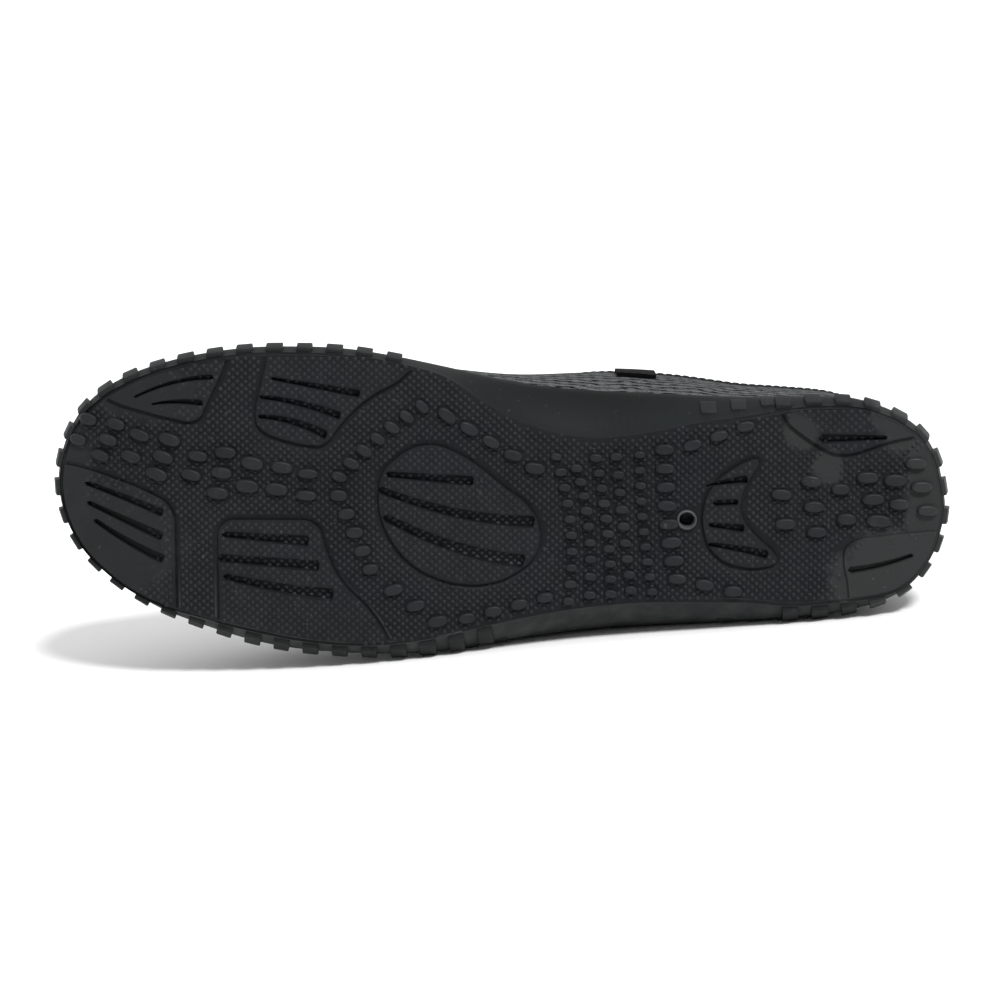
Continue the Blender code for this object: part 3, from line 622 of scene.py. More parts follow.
def make_sole_body():
    rings = [
        ring(TREAD_IN + 0.0007, BASE_LEVEL),
        ring(TREAD_IN + 0.0003, BASE_LEVEL + EDGE_DITCH),
        ring(TREAD_IN - 0.0001, BASE_LEVEL + EDGE_DITCH),
        ring(TREAD_IN * 0.94 - 0.0002, BASE_LEVEL + 0.0003),
    ]
    rings += [wall_ring(share) for share in (0.10, 0.22, 0.36, 0.52, 0.68, 0.84, 1.0)]
    for taper, rise in ((0.25, 0.4), (0.7, 0.8)):
        rings.append(ring(TAPER * taper, WIDEST + (RIM - WIDEST) * rise))
    for share, drop in ((0.05, 0.0006), (0.30, 0.0), (0.80, 0.0), (1.0, 0.0004)):
        rings.append(ring(TAPER + RUBBER_WALL * share, RIM - drop))
    rings += [ring(knit_inset(share) - GAP, knit_height(share)) for share in (0.8, 0.5, 0.2)]
    rings.append(ring(knit_inset(0.0) - GAP, BED_HEIGHT))
    faces = skin(len(rings)) + [lid(0), lid((len(rings) - 1) * AROUND)[::-1]]
    sole = outward(new_piece("sole_body", np.vstack(rings), faces))
    kept = [shape for name, shape in zip(PANELS, PANEL_SHAPES) if name not in WORN_FLUSH]
    grooves = [shape + loop_normals(shape) * GROOVE for shape in kept]
    edge = ring(TREAD_IN + 0.0012, 0.0)[:, :2]
    slopes = [(-0.0007, -0.001), (-0.0006, BASE_LEVEL - 0.0001), (0.0002, BASE_LEVEL + 0.0003)]
    ditch = prism("ditch", grooves, slopes)
    combine(ditch, prism("edge", [edge], [(0.0, -0.002), (0.0, 0.006)]), "INTERSECT")
    combine(sole, ditch, "DIFFERENCE")
    cuts = [(0.0, -0.001), (0.0, PANEL_LEVEL + 0.0004), (0.0002, SLIT_LEVEL)]
    combine(sole, prism("slit_cut", slit_shapes(), cuts), "DIFFERENCE")
    drain = prism("drain_cut", [circle(DRAIN_RADIUS)], [(0.0, -0.001), (0.0, 0.012)])
    combine(sole, drain, "DIFFERENCE")
    return lay(sole, 40)


def make_panels():
    levels = [(0.0, BASE_LEVEL + 0.0012), (0.0, PANEL_LEVEL + 0.0004)]
    levels += [(0.0001, PANEL_LEVEL + 0.0002), (0.0003, PANEL_LEVEL)]
    panels = prism("tread_panels", PANEL_SHAPES, levels)
    edge = ring(TREAD_IN + 0.0009, 0.0)[:, :2]
    core = [(0.0003, PANEL_LEVEL - 0.0004), (0.0, PANEL_LEVEL + 0.0003), (0.0, 0.006)]
    combine(panels, prism("edge", [edge], core), "INTERSECT")
    cuts = [(-0.0004, -0.001), (-0.0002, PANEL_LEVEL), (0.0, PANEL_LEVEL + 0.0003), (0.0, 0.006)]
    combine(panels, prism("slit_cut", slit_shapes(), cuts), "DIFFERENCE")
    return lay(panels, 60)


def unit_circle(corners):
    angles = np.arange(corners) * 2 * math.pi / corners
    return np.column_stack([np.cos(angles), np.sin(angles)])


def circle(radius):
    return unit_circle(DRAIN_CORNERS) * radius + DRAIN_CENTRE


def make_studs():
    profile = [(1.06, BASE_LEVEL + 0.0005), (1.04, BASE_LEVEL - 0.0004), (1.0, 0.0006), (0.93, 0.00024)]
    profile += [(0.82, 0.00008), (0.62, 0.00000), (0.35, 0.00010)]
    corners = 26
    plump = unit_circle(corners)
    plump = np.sign(plump) * np.abs(plump) ** 0.86
    points, faces = [], []
    rng = np.random.default_rng(11)
    for x, y, tilt, half_long, half_wide in STUD_ROWS:
        start = len(points)
        tilt = tilt + rng.normal(0, 0.05)
        grow = 1 + rng.normal(0, 0.035)
        spin = np.array([[math.cos(tilt), -math.sin(tilt)], [math.sin(tilt), math.cos(tilt)]])
        on_panel = any(inside(np.array([[x, y]]), shape)[0] for shape in PANEL_SHAPES)
        level = PANEL_LEVEL if on_panel else BASE_LEVEL
        for share, height in profile:
            oval = plump * (half_long * grow * share, half_wide * grow * share)
            flat = oval @ spin.T + (x, y)
            points += [(a, b, min(height, level + 0.0004)) for a, b in flat]
        faces += skin(len(profile), corners, start)
        faces += [lid(start + (len(profile) - 1) * corners, corners), lid(start, corners)[::-1]]
    return lay(outward(new_piece("tread_studs", points, faces)))


def dot_rows():
    """Centres, heights and sizes of the small dots that cover the tread."""
    count = int(LENGTH / DOT_STEP_X) + 2
    i, j = np.meshgrid(np.arange(count), np.arange(-60, 61), indexing="ij")
    keep = (i + j) % 2 == 0
    places = np.column_stack([i[keep] * DOT_STEP_X, j[keep] * DOT_STEP_Y])
    tread = ring(TREAD_IN + np.where(EDGE_DITCH < 0.0002, 0.0002, 0.0009), 0.0)[:, :2]
    places = places[inside(places, tread)]
    level = np.full(len(places), BASE_LEVEL)
    tall = np.full(len(places), DOT_HEIGHT)
    for shape in PANEL_SHAPES:
        grown = shape + loop_normals(shape) * (GROOVE + 0.0005)
        shrunk = shape - loop_normals(shape) * 0.0008
        near = inside(places, grown)
        on = inside(places, shrunk)
        level[near & on] = PANEL_LEVEL
        tall[near & on] = PANEL_DOT_HEIGHT
        tall[near & ~on] = 0.0
    for shape, small in zip(slit_shapes(0.0005), slit_shapes(-0.0002)):
        near = inside(places, shape)
        level[near] = SLIT_LEVEL
        tall[near] = np.where(inside(places[near], small), SLIT_DOT_HEIGHT, 0.0)
    for x, y, tilt, half_long, half_wide in STUD_ROWS:
        dx, dy = (places - (x, y)).T
        u = (dx * math.cos(tilt) + dy * math.sin(tilt)) / (half_long + STUD_CLEAR)
        v = (-dx * math.sin(tilt) + dy * math.cos(tilt)) / (half_wide + STUD_CLEAR)
        tall[np.hypot(u, v) < 1] = 0.0
    tall[np.hypot(*(places - DRAIN_CENTRE).T) < DRAIN_CLEAR] = 0.0
    tall *= 1 - worn_share(places)
    good = tall > LOWEST_DOT
    return places[good], level[good], tall[good]


def make_dots():
    """Both dot pieces, each with a flag by point for the dots in the slits."""
    places, level, tall = dot_rows()
    corners = 6
    hexagon = unit_circle(corners)
    rng = np.random.default_rng(5)
    made = []
    front = places[:, 0] > LENGTH * 0.5
    for name, chosen in (("tread_dots_front", front), ("tread_dots_back", ~front)):
        points, faces = [], []
        for (x, y), low, high in zip(places[chosen], level[chosen], tall[chosen]):
            start = len(points)
            x, y = np.array([x, y]) + rng.normal(0, 0.00004, 2)
            high = high * rng.uniform(0.8, 1.15)
            profile = ((1.0, low + 0.0001), (0.74, low - high * 0.65), (0.30, low - high))
            for share, height in profile:
                flat = hexagon * DOT_RADIUS * share + (x, y)
                points += [(a, b, height) for a, b in flat]
            faces += skin(3, corners, start) + [lid(start + 2 * corners, corners)]
        sunk = np.repeat(level[chosen] == SLIT_LEVEL, 3 * corners)
        made.append((lay(new_piece(name, points, faces)), sunk))
    return made


def make_blocks():
    step = np.linalg.norm(np.roll(PLAN, -1, axis=0) - PLAN, axis=1).mean()
    work = bmesh.new()
    rng = np.random.default_rng(3)
    for run in BLOCKS:
        side = MEDIAL if run.side.startswith("medial") else ~MEDIAL
        away = np.abs(PLAN[:, 0] - run.station * LENGTH)
        first = float(np.argmin(np.where(side, away, LENGTH)))
        way = 1 if run.side == "lateral_back" else -1
        for i in range(run.count):
            middle = (first + way * i * BLOCK_PITCH / step) % AROUND
            half = BLOCK_LENGTH / 2 * rng.uniform(0.94, 1.04)
            corners = []
            for share in (run.low, (run.low * 0.4 + run.high * 0.6), run.high):
                spot, facing, height = wall_point(middle, share)
                tangent = np.array([facing[1], -facing[0]])
                proud = run.proud / 1000
                for out, end in ((-0.0008, -1), (-0.0008, 1), (proud, 1), (proud, -1)):
                    flat = spot + facing * out + tangent * end * half
                    corners.append(work.verts.new((flat[0], flat[1], height)))
            quads = [(0, 1, 2, 3), (11, 10, 9, 8)]
            for low in (0, 4):
                turned = [(j, (j + 1) % 4) for j in range(4)]
                quads += [(low + j, low + 4 + j, low + 4 + k, low + k) for j, k in turned]
            for quad in quads:
                work.faces.new([corners[k] for k in quad])
    bmesh.ops.recalc_face_normals(work, faces=work.faces)
    sharp = [e for e in work.edges if e.calc_face_angle(0) > 0.6]
    bmesh.ops.bevel(work, geom=sharp, offset=0.0004, segments=2, affect="EDGES", profile=0.6)
    mesh = bpy.data.meshes.new("wall_blocks")
    work.to_mesh(mesh)
    work.free()
    return lay(linked("wall_blocks", mesh))


def wall_point(place, share_high):
    """Point and outward normal on the rubber wall at a loop position and height."""
    height = share_high * WALL_HEIGHT
    low = int(place) % AROUND
    high = (low + 1) % AROUND
    part = place - int(place)
    spot = PLAN[low] * (1 - part) + PLAN[high] * part
    facing = NORMAL[low] * (1 - part) + NORMAL[high] * part
    facing = facing / np.linalg.norm(facing)
    rise = min(max((height - BASE_LEVEL) / (WIDEST[low] - BASE_LEVEL), 0.0), 1.0)
    return spot - facing * TREAD_IN[low] * (1 - rise) ** FLARE_POWER, facing, height


def make_drain():
    """Rolled rim of the drain hole and the short tube behind it."""
    profile = [(0.0031, BASE_LEVEL + 0.0003), (0.0030, 0.0009), (0.0028, 0.0006), (0.0026, 0.0006)]
    profile += [(0.0024, 0.0010), (0.00225, 0.0016), (0.0021, 0.0060)]
    points = [(x, y, height) for radius, height in profile for x, y in circle(radius)]
    return lay(new_piece("drain_rim", points, skin(len(profile), DRAIN_CORNERS)))


# Knit upper


def cap_ring(border, share):
    """Ring inside the flat band along the top line, drawn in towards its middle."""
    middle = (border + border[-np.arange(AROUND) % AROUND]) / 2
    line = middle[:AROUND // 2 + 1]
    places = middle + (border - middle) * share
    centre = line[:, 0].mean()
    places[:, 0] = centre + (places[:, 0] - centre) * (1 - 0.03 * (1 - share))
    places[:, 2] = np.interp(places[:, 0], line[:, 0], line[:, 2])
    return places


def upper_surface():
    """Stacked rings of the outer knit surface with a run along and up the cloth at each point."""
    rings = [ring(knit_inset(share), knit_height(share)) for share in (0, 0.25, 0.5, 0.75, 1)]
    rings += [upper_ring(share) for share in np.linspace(0, 1, 31)[1:]]
    border = rings[-1]
    rings += [cap_ring(border, share) for share in (0.75, 0.50, 0.27, 0.05)]
    stack = np.array(rings)
    steps = np.linalg.norm(np.diff(stack, axis=0), axis=2)
    climb = np.vstack([np.zeros(AROUND), np.cumsum(steps, axis=0)])
    uv = np.stack([np.broadcast_to(RUN, climb.shape), climb], axis=2)
    return stack, uv


def surface_normals(stack):
    normal = unit(np.cross(np.gradient(stack, axis=0), span(stack, axis=1)))
    middle = stack.mean(axis=(0, 1))
    return normal if np.sum(normal * (stack - middle)) > 0 else -normal


def collar_height(x):
    return along(COLLAR, "height", x) * HEEL_HEIGHT


def make_upper(stack, uv, normals):
    outer = stack.reshape(-1, 3)
    inner = (stack - normals * KNIT_WALL).reshape(-1, 3)
    inner[:AROUND] = ring(knit_inset(0.0) + KNIT_WALL * SLOPE_STRETCH, knit_height(0.0))
    faces = skin(len(stack)) + cap_faces((len(stack) - 1) * AROUND)
    shift = len(outer)
    lining = [tuple(c + shift for c in reversed(face)) for face in faces]
    rim = [(b, a, c, d) for a, b, d, c in band(0, shift)]
    flat_uv = uv.reshape(-1, 2)
    both_uv = np.vstack([flat_uv, flat_uv])
    points = np.vstack([outer, inner])
    upper = outward(new_piece("knit_upper", points, faces + lining + rim, both_uv))
    stations = np.linspace(COLLAR[0].station, COLLAR[-1].station, 90)
    side = [(s * LENGTH, float(collar_height(s * LENGTH))) for s in stations]
    side += [(side[-1][0], 0.2), (side[0][0], 0.2)]
    count = len(side)
    points = [(x, 0.1, z) for x, z in side] + [(x, -0.1, z) for x, z in side]
    sides = [tuple(range(count)), tuple(range(2 * count - 1, count - 1, -1))]
    sides += [(i, count + i, count + (i + 1) % count, (i + 1) % count) for i in range(count)]
    combine(upper, outward(new_piece("collar_cut", points, sides)), "DIFFERENCE")
    mesh = upper.data
    cloth = BVHTree.FromPolygons([v.co for v in mesh.vertices], [p.vertices for p in mesh.polygons])
    return lay(upper), cloth


def collar_line(stack, normals):
    """Closed line round the collar edge, in the middle of the knit wall, with its normals."""
    middle = stack - normals * KNIT_WALL / 2
    over = middle[:, :, 2] - collar_height(middle[:, :, 0])
    places = []
    facings = []
    for rows, columns in ((1, 0), (0, 1)):
        beyond = np.roll(over, (-rows, -columns), axis=(0, 1))
        crossing = (over < 0) != (beyond < 0)
        crossing[-1] &= rows == 0
        t = (over[crossing] / (over[crossing] - beyond[crossing]))[:, None]
        for found, field in ((places, middle), (facings, normals)):
            ahead = np.roll(field, (-rows, -columns), axis=(0, 1))
            found.append(field[crossing] * (1 - t) + ahead[crossing] * t)
    places = np.vstack(places)
    order = np.argsort(np.arctan2(places[:, 1] + 0.004, places[:, 0] - 0.075))
    return places[order], np.vstack(facings)[order]


def smooth_loop(values, rounds):
    for _ in range(rounds):
        values = values * 0.5 + (np.roll(values, 1, axis=0) + np.roll(values, -1, axis=0)) * 0.25
    return values


def even_loop(places, facings, count):
    """The loop and its normals at even steps, with the length of the loop."""
    run = distances(closed(places))
    spots = np.linspace(0, run[-1], count, endpoint=False)
    even = []
    for loop, rounds in ((closed(places), 3), (closed(facings), 6)):
        spread = np.column_stack([np.interp(spots, run, loop[:, k]) for k in range(3)])
        even.append(smooth_loop(spread, rounds))
    return *even, run[-1]


def make_binding(places, facings):
    """Folded tape over the collar edge, swept along it."""
    count = 260
    line, facing, total = even_loop(places, facings, count)
    facing = unit(facing)
    upward = unit(np.cross(unit(span(line)), facing))
    upward *= np.sign(upward[:, 2].mean())
    half = KNIT_WALL / 2
    section = [(half + 0.0001, -0.0052), (half + 0.0003, -0.0050), (half + 0.0004, -0.0030)]
    section += [(half + 0.0004, -0.0008), (half + 0.0002, 0.0003), (half * 0.4, 0.0006)]
    section += [(-a, b) for a, b in reversed(section)]
    points = []
    uv = []
    for out, rise in section:
        points.append(line + facing * out + upward * rise)
        run = np.arange(count) * total / count
        uv.append(np.column_stack([run, np.full(count, out * 2 + rise)]))
    faces = []
    for i in range(len(section)):
        faces += band(i * count, ((i + 1) % len(section)) * count, count)
    piece = new_piece("collar_binding", np.vstack(points), faces, np.vstack(uv))
    return lay(outward(piece)), line, facing, upward


def make_stitches(line, facing, upward):
    """Short thread stitches along the lower edge of the binding, as one joined mesh."""
    points, faces = [], []
    half = KNIT_WALL / 2 + 0.0004
    seat = line + facing * half - upward * 0.0040
    run = distances(closed(seat))
    total = run[-1]
    count = int(total / STITCH_PITCH)
    loops = [closed(seat), closed(facing), closed(upward)]
    for i in range(count):
        ends = []
        for t in (0.12, 0.5, 0.82):
            at = (i + t) * total / count
            ends.append([np.array([np.interp(at, run, a[:, k]) for k in range(3)]) for a in loops])
        start = len(points)
        for n, (spot, out, up) in enumerate(ends):
            rise = 0.00008 if n == 1 else 0.0
            for a, b in ((1, 0), (0, 1), (-1, 0), (0, -1)):
                points.append(spot + out * (rise + b * 0.00014) + up * a * 0.00018)
        faces += skin(3, 4, start) + [lid(start, 4)[::-1], lid(start + 8, 4)]
    return lay(new_piece("binding_stitches", points, faces))


def make_insole():
    inset = knit_inset(0.0) + KNIT_WALL * SLOPE_STRETCH + GAP
    low = BED_HEIGHT + GAP
    rows = [(0.0, low), (0.0, low + 0.0022), (0.0005, low + 0.0028), (0.0016, low + 0.0030)]
    rings = [ring(inset + more, height) for more, height in rows]
    rings.append(ring(inset + 0.008, low + 0.0028))
    faces = skin(len(rings)) + [lid(0)] + cap_faces((len(rings) - 1) * AROUND)
    return lay(outward(new_piece("inner_sole", np.vstack(rings), faces)), 30)


def make_tab(cloth):
    """Woven tab that follows the inner side of the collar."""
    top = float(collar_height(TAB_STATION * LENGTH)) - TAB_BELOW_COLLAR
    across = 17
    down = 24
    points = []
    uv = []
    for layer in (GAP, GAP + TAB_THICKNESS):
        for j in range(down):
            for i in range(across):
                x = TAB_STATION * LENGTH + TAB_WIDTH * (i / (across - 1) - 0.5)
                z = top - TAB_HEIGHT * j / (down - 1)
                spot = cloth.ray_cast(Vector((x, BALL_WIDTH, z)), Vector((0, -1, 0)))[0]
                points.append((x, spot.y + layer, z))
                uv.append((x, z))
    size = across * down
    faces = []
    for j in range(down - 1):
        for i in range(across - 1):
            a = j * across + i
            quad = (a, a + 1, a + across + 1, a + across)
            faces += [quad, tuple(k + size for k in reversed(quad))]
    grid = np.arange(size).reshape(down, across)
    border = np.concatenate([grid[0], grid[1:, -1], grid[-1, -2::-1], grid[-2:0:-1, 0]]).tolist()
    ahead = border[1:] + border[:1]
    faces += [(here, here + size, there + size, there) for here, there in zip(border, ahead)]
    return lay(outward(new_piece("side_loop", points, faces, np.array(uv))))


# Materials


class Nodes:
    """Small helper that adds shader nodes and wires them up."""

    def __init__(self, owner, shader="Principled BSDF"):
        owner.use_nodes = True
        self.owner = owner
        self.tree = owner.node_tree
        self.shader = self.tree.nodes[shader]
        self.where = self.add("ShaderNodeTexCoord", out=3)

    def put(self, socket, value):
        if isinstance(value, bpy.types.NodeSocket):
            self.tree.links.new(value, socket)
        elif value is not None:
            socket.default_value = value

    def add(self, kind, out=0, **values):
        node = self.tree.nodes.new(kind)
        for key, value in values.items():
            if key.startswith("in"):
                self.put(node.inputs[int(key[2:])], value)
            else:
                setattr(node, key, value)
        return node.outputs[out]

    def math(self, operation, a, b=None):
        return self.add("ShaderNodeMath", operation=operation, in0=a, in1=b)

    def plus(self, a, b):
        return self.math("ADD", a, b)

    def times(self, a, b):
        return self.math("MULTIPLY", a, b)

    def sine(self, a):
        return self.math("SINE", a)

    def vector(self, operation, a, b=None, out=0):
        return self.add("ShaderNodeVectorMath", out=out, operation=operation, in0=a, in1=b)

    def upright(self, axis):
        """Place along an axis of the upright shoe."""
        offset = self.vector("SUBTRACT", self.where, tuple(SHIFT))
        return self.vector("DOT_PRODUCT", offset, tuple(TURN.col[axis]), 1)

    def noise(self, scale, detail=3.0, roughness=0.55):
        return self.add("ShaderNodeTexNoise", in0=self.where, in2=scale, in3=detail, in4=roughness)

    def between(self, value, low, high, start=0.0, end=1.0):
        return self.add("ShaderNodeMapRange", in0=value, in1=low, in2=high, in3=start, in4=end)

    def mix(self, factor, first, second):
        node = self.tree.nodes.new("ShaderNodeMix")
        node.data_type = "RGBA"
        for name, value in (("Factor", factor), ("A", first), ("B", second)):
            self.put(node.inputs[name], (*value, 1) if isinstance(value, tuple) else value)
        return node.outputs["Result"]

    def bump(self, height, distance, strength=1.0):
        node = self.tree.nodes.new("ShaderNodeBump")
        node.inputs["Strength"].default_value = strength
        node.inputs["Distance"].default_value = distance
        self.put(node.inputs["Height"], height)
        self.put(self.shader.inputs["Normal"], node.outputs["Normal"])

    def set(self, **values):
        for name, value in values.items():
            self.put(self.shader.inputs[name.replace("_", " ")], value)


def scaled(colour, factor):
    return tuple(c * factor for c in colour)


def worn_mask(nodes):
    """Shade of the rubbed places, with ragged edges."""
    ragged = nodes.between(nodes.noise(75.0, 5.0, 0.62), 0.3, 0.7, -0.42, 0.42)
    x, y = (nodes.upright(axis) for axis in (0, 1))
    plan = nodes.add("ShaderNodeCombineXYZ", in0=x, in1=y)
    mask = None
    for spot in WORN:
        centre = (spot.x * LENGTH, spot.y * BALL_WIDTH, 0.0)
        size = (1 / (spot.along * LENGTH), 1 / (spot.across * BALL_WIDTH), 0.0)
        apart = nodes.vector("MULTIPLY", nodes.vector("SUBTRACT", plan, centre), size)
        away = nodes.vector("LENGTH", apart, out=1)
        near = nodes.between(nodes.plus(away, ragged), 1.20, 0.92, 0.0, spot.pale)
        mask = near if mask is None else nodes.math("MAXIMUM", mask, near)
    return mask


def rubber(name, base, rough, grain):
    """Moulded rubber: a dark base colour, patchy, paler where it is rubbed, with a fine grain."""
    nodes = Nodes(bpy.data.materials.new(name))
    broad = nodes.noise(24.0, 4.0)
    middle = nodes.noise(190.0, 3.0, 0.6)
    fine = nodes.noise(1100.0, 2.0)
    dust = nodes.noise(520.0, 2.0, 0.7)
    worn = worn_mask(nodes)
    patches = nodes.between(broad, 0.35, 0.65)
    colour = nodes.mix(patches, scaled(base, 0.85), scaled(base, 1.2))
    blue = tuple(c * f for c, f in zip(base, (1.0, 0.98, 1.22)))
    colour = nodes.mix(nodes.between(nodes.noise(31.0, 3.0), 0.52, 0.66), colour, blue)
    light = nodes.times(nodes.between(middle, 0.35, 0.72), 0.45)
    colour = nodes.mix(light, colour, scaled(base, 1.9))
    colour = nodes.mix(worn, colour, RUBBED)
    colour = nodes.mix(nodes.between(dust, 0.68, 0.76, 0.0, 0.5), colour, (0.060, 0.062, 0.066))
    roughness = nodes.between(nodes.plus(middle, worn), 0.3, 1.4, rough, rough - 0.12)
    nodes.set(Base_Color=colour, Roughness=roughness, Specular_IOR_Level=0.15)
    nodes.bump(nodes.plus(fine, nodes.times(middle, grain)), 0.00012, 0.6)
    return nodes.owner


def wall_rubber():
    """Smooth rubber of the walls: faint ribs, painted shade high on the inner side, painted light on
    the outer side with streaky blotches.
    """
    nodes = Nodes(bpy.data.materials.new("wall_rubber"))
    broad = nodes.noise(16.0, 4.0)
    fine = nodes.noise(1100.0, 2.0)
    parts = nodes.add("ShaderNodeSeparateXYZ", in0=nodes.where)
    ribs = nodes.sine(nodes.times(parts, 2600.0))
    worn = worn_mask(nodes)
    patches = nodes.between(broad, 0.3, 0.7)
    colour = nodes.mix(patches, (0.0058, 0.0072, 0.0076), (0.0096, 0.0118, 0.0122))
    colour = nodes.mix(nodes.times(worn, 0.7), colour, (0.024, 0.026, 0.026))
    speck = nodes.between(nodes.noise(520.0, 2.0, 0.7), 0.67, 0.75, 0.0, 0.4)
    colour = nodes.mix(speck, colour, (0.050, 0.053, 0.055))
    side, high = (nodes.upright(axis) for axis in (1, 2))
    # Painted shade: the inner side is darkened towards the rim.
    inner = nodes.between(side, 0.0, 0.02, 0.1, 0.8)
    painted_rim_shade = nodes.times(nodes.between(high, 0.0070, 0.0200), inner)
    colour = nodes.mix(painted_rim_shade, colour, (0.0016, 0.0018, 0.0020))
    # Painted light: the outer side is painted paler, with streaky blotches in its tone.
    painted_light_side = nodes.between(side, -0.018, -0.042, 0.0, 0.85)
    streaks = nodes.between(nodes.noise(130.0, 3.0, 0.6), 0.42, 0.66)
    painted_light_streaks = nodes.mix(streaks, (0.026, 0.030, 0.0295), (0.046, 0.050, 0.048))
    colour = nodes.mix(painted_light_side, colour, painted_light_streaks)
    roughness = nodes.between(broad, 0.3, 0.7, 0.56, 0.70)
    nodes.set(Base_Color=colour, Roughness=roughness, Specular_IOR_Level=0.10)
    nodes.bump(nodes.plus(nodes.times(ribs, 0.25), fine), 0.00010, 0.5)
    return nodes.owner


def knit_cloth():
    """Open knit: wavy courses with dark gaps between them."""
    nodes = Nodes(bpy.data.materials.new("knit_cloth"))
    uv = nodes.add("ShaderNodeUVMap", uv_map="knit")
    run = nodes.add("ShaderNodeSeparateXYZ", in0=uv)
    climb = run.node.outputs[1]
    warp = nodes.between(nodes.noise(55.0, 3.0), 0.3, 0.7, -0.0016, 0.0016)
    wave = nodes.times(nodes.sine(nodes.times(run, 310.0)), 0.0006)
    course = nodes.math("DIVIDE", nodes.plus(nodes.plus(climb, wave), warp), COURSE_PITCH)
    ridge = nodes.math("ABSOLUTE", nodes.sine(nodes.times(course, math.pi)))
    odd = nodes.times(nodes.math("FLOOR", course), 2.9)
    loops = nodes.sine(nodes.plus(nodes.times(run, 760.0), odd))
    open_mesh = nodes.between(nodes.noise(210.0, 2.0), 0.38, 0.55, 0.45, 1.0)
    gap = nodes.times(nodes.between(ridge, 0.90, 0.45), nodes.between(loops, -0.95, -0.30))
    gap = nodes.times(gap, open_mesh)
    thread = nodes.noise(1500.0, 2.0)
    rows = nodes.times(nodes.sine(nodes.times(course, 6 * math.pi)), 0.14)
    shade = nodes.between(nodes.plus(thread, rows), 0.3, 0.7)
    # Thread grey set darker than the cloth's own colour: partly its own grey, partly painted shade.
    pale = nodes.mix(shade, (0.036, 0.038, 0.039), (0.118, 0.123, 0.125))
    colour = nodes.mix(gap, pale, (0.002, 0.0022, 0.0022))
    roughness = nodes.between(thread, 0.2, 0.8, 0.78, 0.95)
    nodes.set(Base_Color=colour, Roughness=roughness, Specular_IOR_Level=0.04)
    height = nodes.math("SUBTRACT", nodes.plus(ridge, nodes.times(thread, 0.3)), gap)
    nodes.bump(height, 0.00035, 0.9)
    return nodes.owner


def woven(name, dark, light, pitch_run, pitch_climb):
    """Tight weave for tape and tab."""
    nodes = Nodes(bpy.data.materials.new(name))
    uv = nodes.add("ShaderNodeUVMap", uv_map="knit")
    parts = nodes.add("ShaderNodeSeparateXYZ", in0=uv)
    a = nodes.sine(nodes.times(parts, math.tau / pitch_run))
    b = nodes.sine(nodes.times(parts.node.outputs[1], math.tau / pitch_climb))
    weave = nodes.times(a, b)
    fuzz = nodes.noise(1300.0, 2.0)
    colour = nodes.mix(nodes.between(nodes.plus(weave, fuzz), -0.4, 1.4), dark, light)
    nodes.set(Base_Color=colour, Roughness=nodes.between(fuzz, 0.2, 0.8, 0.70, 0.92))
    nodes.set(Sheen_Weight=0.02, Sheen_Roughness=0.45, Specular_IOR_Level=0.05)
    nodes.bump(nodes.plus(weave, fuzz), WEAVE_RELIEF, 0.8)
    return nodes.owner


def lining_cloth():
    nodes = Nodes(bpy.data.materials.new("lining_cloth"))
    cells = nodes.add("ShaderNodeTexVoronoi", in0=nodes.where, in2=620.0)
    fuzz = nodes.noise(1400.0, 2.0)
    broad = nodes.noise(30.0, 3.0)
    colour = nodes.mix(nodes.between(cells, 0.1, 0.6), (0.012, 0.012, 0.014), (0.045, 0.046, 0.050))
    colour = nodes.mix(nodes.between(broad, 0.4, 0.7, 0.0, 0.35), colour, (0.060, 0.060, 0.062))
    nodes.set(Base_Color=colour, Roughness=nodes.between(fuzz, 0.2, 0.8, 0.82, 0.96))
    nodes.set(Sheen_Weight=0.2, Sheen_Roughness=0.5)
    nodes.bump(nodes.math("SUBTRACT", fuzz, cells), 0.00025, 0.8)
    return nodes.owner


def plain(name, colour, roughness, scale):
    nodes = Nodes(bpy.data.materials.new(name))
    patches = nodes.mix(nodes.noise(scale), scaled(colour, 0.97), colour)
    nodes.set(Base_Color=patches, Roughness=roughness)
    return nodes.owner


# Pieces in place


def settle(piece, material, node=None, sharp=None):
    piece.data.materials.clear()
    piece.data.materials.append(material)
    if sharp:
        piece.data.set_sharp_from_angle(angle=math.radians(sharp))
    piece.data.update()
    if node:
        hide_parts(node)
    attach(piece, "root")


RUBBED = (0.0205, 0.0225, 0.0228)
# Tread and panel rubber are set darker and the dots paler, though all are one rubber: painted shade
# between the dots and painted highlight on their tops.
tread_rubber = rubber("tread_rubber", (0.0048, 0.0054, 0.0059), 0.66, 1.0)
panel_rubber = rubber("panel_rubber", (0.0060, 0.0067, 0.0073), 0.62, 1.0)
stud_rubber = rubber("stud_rubber", (0.0102, 0.0114, 0.0122), 0.52, 2.5)
dot_rubber = rubber("dot_rubber", (0.0108, 0.0119, 0.0129), 0.60, 1.0)
slit_dot_rubber = rubber("slit_dot_rubber", (0.027, 0.029, 0.031), 0.60, 1.0)
# Wall blocks set darker than the studs, as painted shade.
block_rubber = rubber("block_rubber", (0.0082, 0.0092, 0.0096), 0.62, 2.0)
# Drain rubber pale for the bright ring round the hole: partly dust, partly painted highlight.
drain_rubber = rubber("drain_rubber", (0.050, 0.052, 0.052), 0.45, 1.0)
side_rubber = wall_rubber()

body = make_sole_body()
settle(body, side_rubber, "outsole", 28)
body.data.materials.append(tread_rubber)
down = -(TURN @ Vector((0, 0, 1)))
for face in body.data.polygons:
    if face.normal.dot(down) > 0.93:
        face.material_index = 1

settle(make_panels(), panel_rubber, None, 32)
settle(make_studs(), stud_rubber)
for piece, sunk in make_dots():
    settle(piece, dot_rubber)
    piece.data.materials.append(slit_dot_rubber)
    for face in piece.data.polygons:
        face.material_index = int(sunk[face.vertices[0]])
settle(make_blocks(), block_rubber, None, 50)
settle(make_drain(), drain_rubber, None, 60)

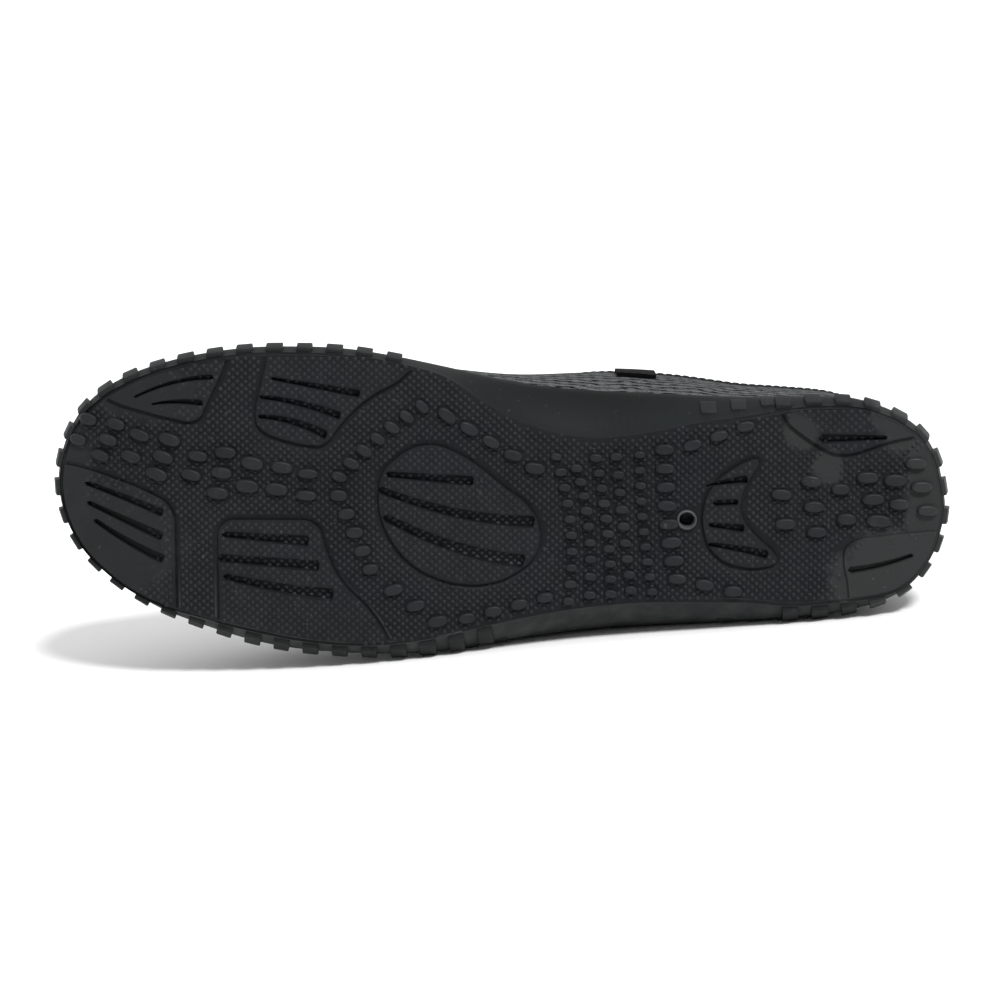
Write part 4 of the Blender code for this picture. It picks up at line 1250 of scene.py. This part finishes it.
stack, cloth_uv = upper_surface()
normals = surface_normals(stack)
upper, cloth = make_upper(stack, cloth_uv, normals)
settle(upper, knit_cloth(), "upper", 45)
edge_places, edge_facings = collar_line(stack, normals)
binding, line, facing, upward = make_binding(edge_places, edge_facings)
tape = woven("binding_tape", (0.010, 0.010, 0.012), (0.034, 0.035, 0.038), 0.0011, 0.0011)
settle(binding, tape)
thread = plain("thread", (0.035, 0.036, 0.040), 0.7, 900.0)
settle(make_stitches(line, facing, upward), thread)
footbed = make_insole()
settle(footbed, lining_cloth(), "insole", 40)
tab_weave = woven("tab_weave", (0.0012, 0.0012, 0.0014), (0.0045, 0.0045, 0.0050), 0.0009, 0.0013)
settle(make_tab(cloth), tab_weave, "side_tab", 40)


# Studio


floor_mesh = bpy.data.meshes.new("studio_floor")
floor_mesh.from_pydata([(-6, -6, 0), (6, -6, 0), (6, 6, 0), (-6, 6, 0)], [], [(0, 1, 2, 3)])
floor = linked("studio_floor", floor_mesh)
floor_mesh.materials.append(plain("floor_paper", (0.90, 0.90, 0.90), 0.95, 3.0))

# Soft light from all round, dimmer from in front of the shoe.
surround = bpy.data.worlds.new("studio")
bpy.context.scene.world = surround
sky = Nodes(surround, "Background")
direction = sky.where.node.outputs["Generated"]
facing_away = sky.vector("DOT_PRODUCT", direction, (0.0, 0.8, 0.6), out=1)
sky.set(Strength=sky.between(facing_away, -0.5, 0.25, 0.12, 1.0), Color=(1, 1, 1, 1))

SUN_FROM = Vector((0.30, -0.55, 0.78))
SUN_STRENGTH = 3.3
SUN_WIDTH = 12
key_data = bpy.data.lights.new("key", "SUN")
key_data.energy = SUN_STRENGTH
key_data.angle = math.radians(SUN_WIDTH)
key = linked("key", key_data)
key.rotation_euler = SUN_FROM.to_track_quat("Z", "Y").to_euler()

# Camera: a little above the square view of the sole, level with the shoe's own length.
VIEW_OFF_SOLE = math.radians(9.5)
FRAME_WIDTH = 0.305
LENS = 100.0
SENSOR = 36.0
middle = world((0.497 * LENGTH, 0.0, 0.004))
back = TURN @ Vector((0, math.sin(VIEW_OFF_SOLE), -math.cos(VIEW_OFF_SOLE)))
right = TURN @ Vector((-1, 0, 0))
upright = back.cross(right)
lens_data = bpy.data.cameras.new("camera")
lens_data.lens = LENS
lens_data.sensor_width = SENSOR
camera = linked("camera", lens_data)
turn = Matrix((right, upright, back)).transposed().to_4x4()
camera.matrix_world = Matrix.Translation(middle + back * FRAME_WIDTH * LENS / SENSOR) @ turn
bpy.context.scene.camera = camera
bpy.context.scene.view_settings.view_transform = "Standard"
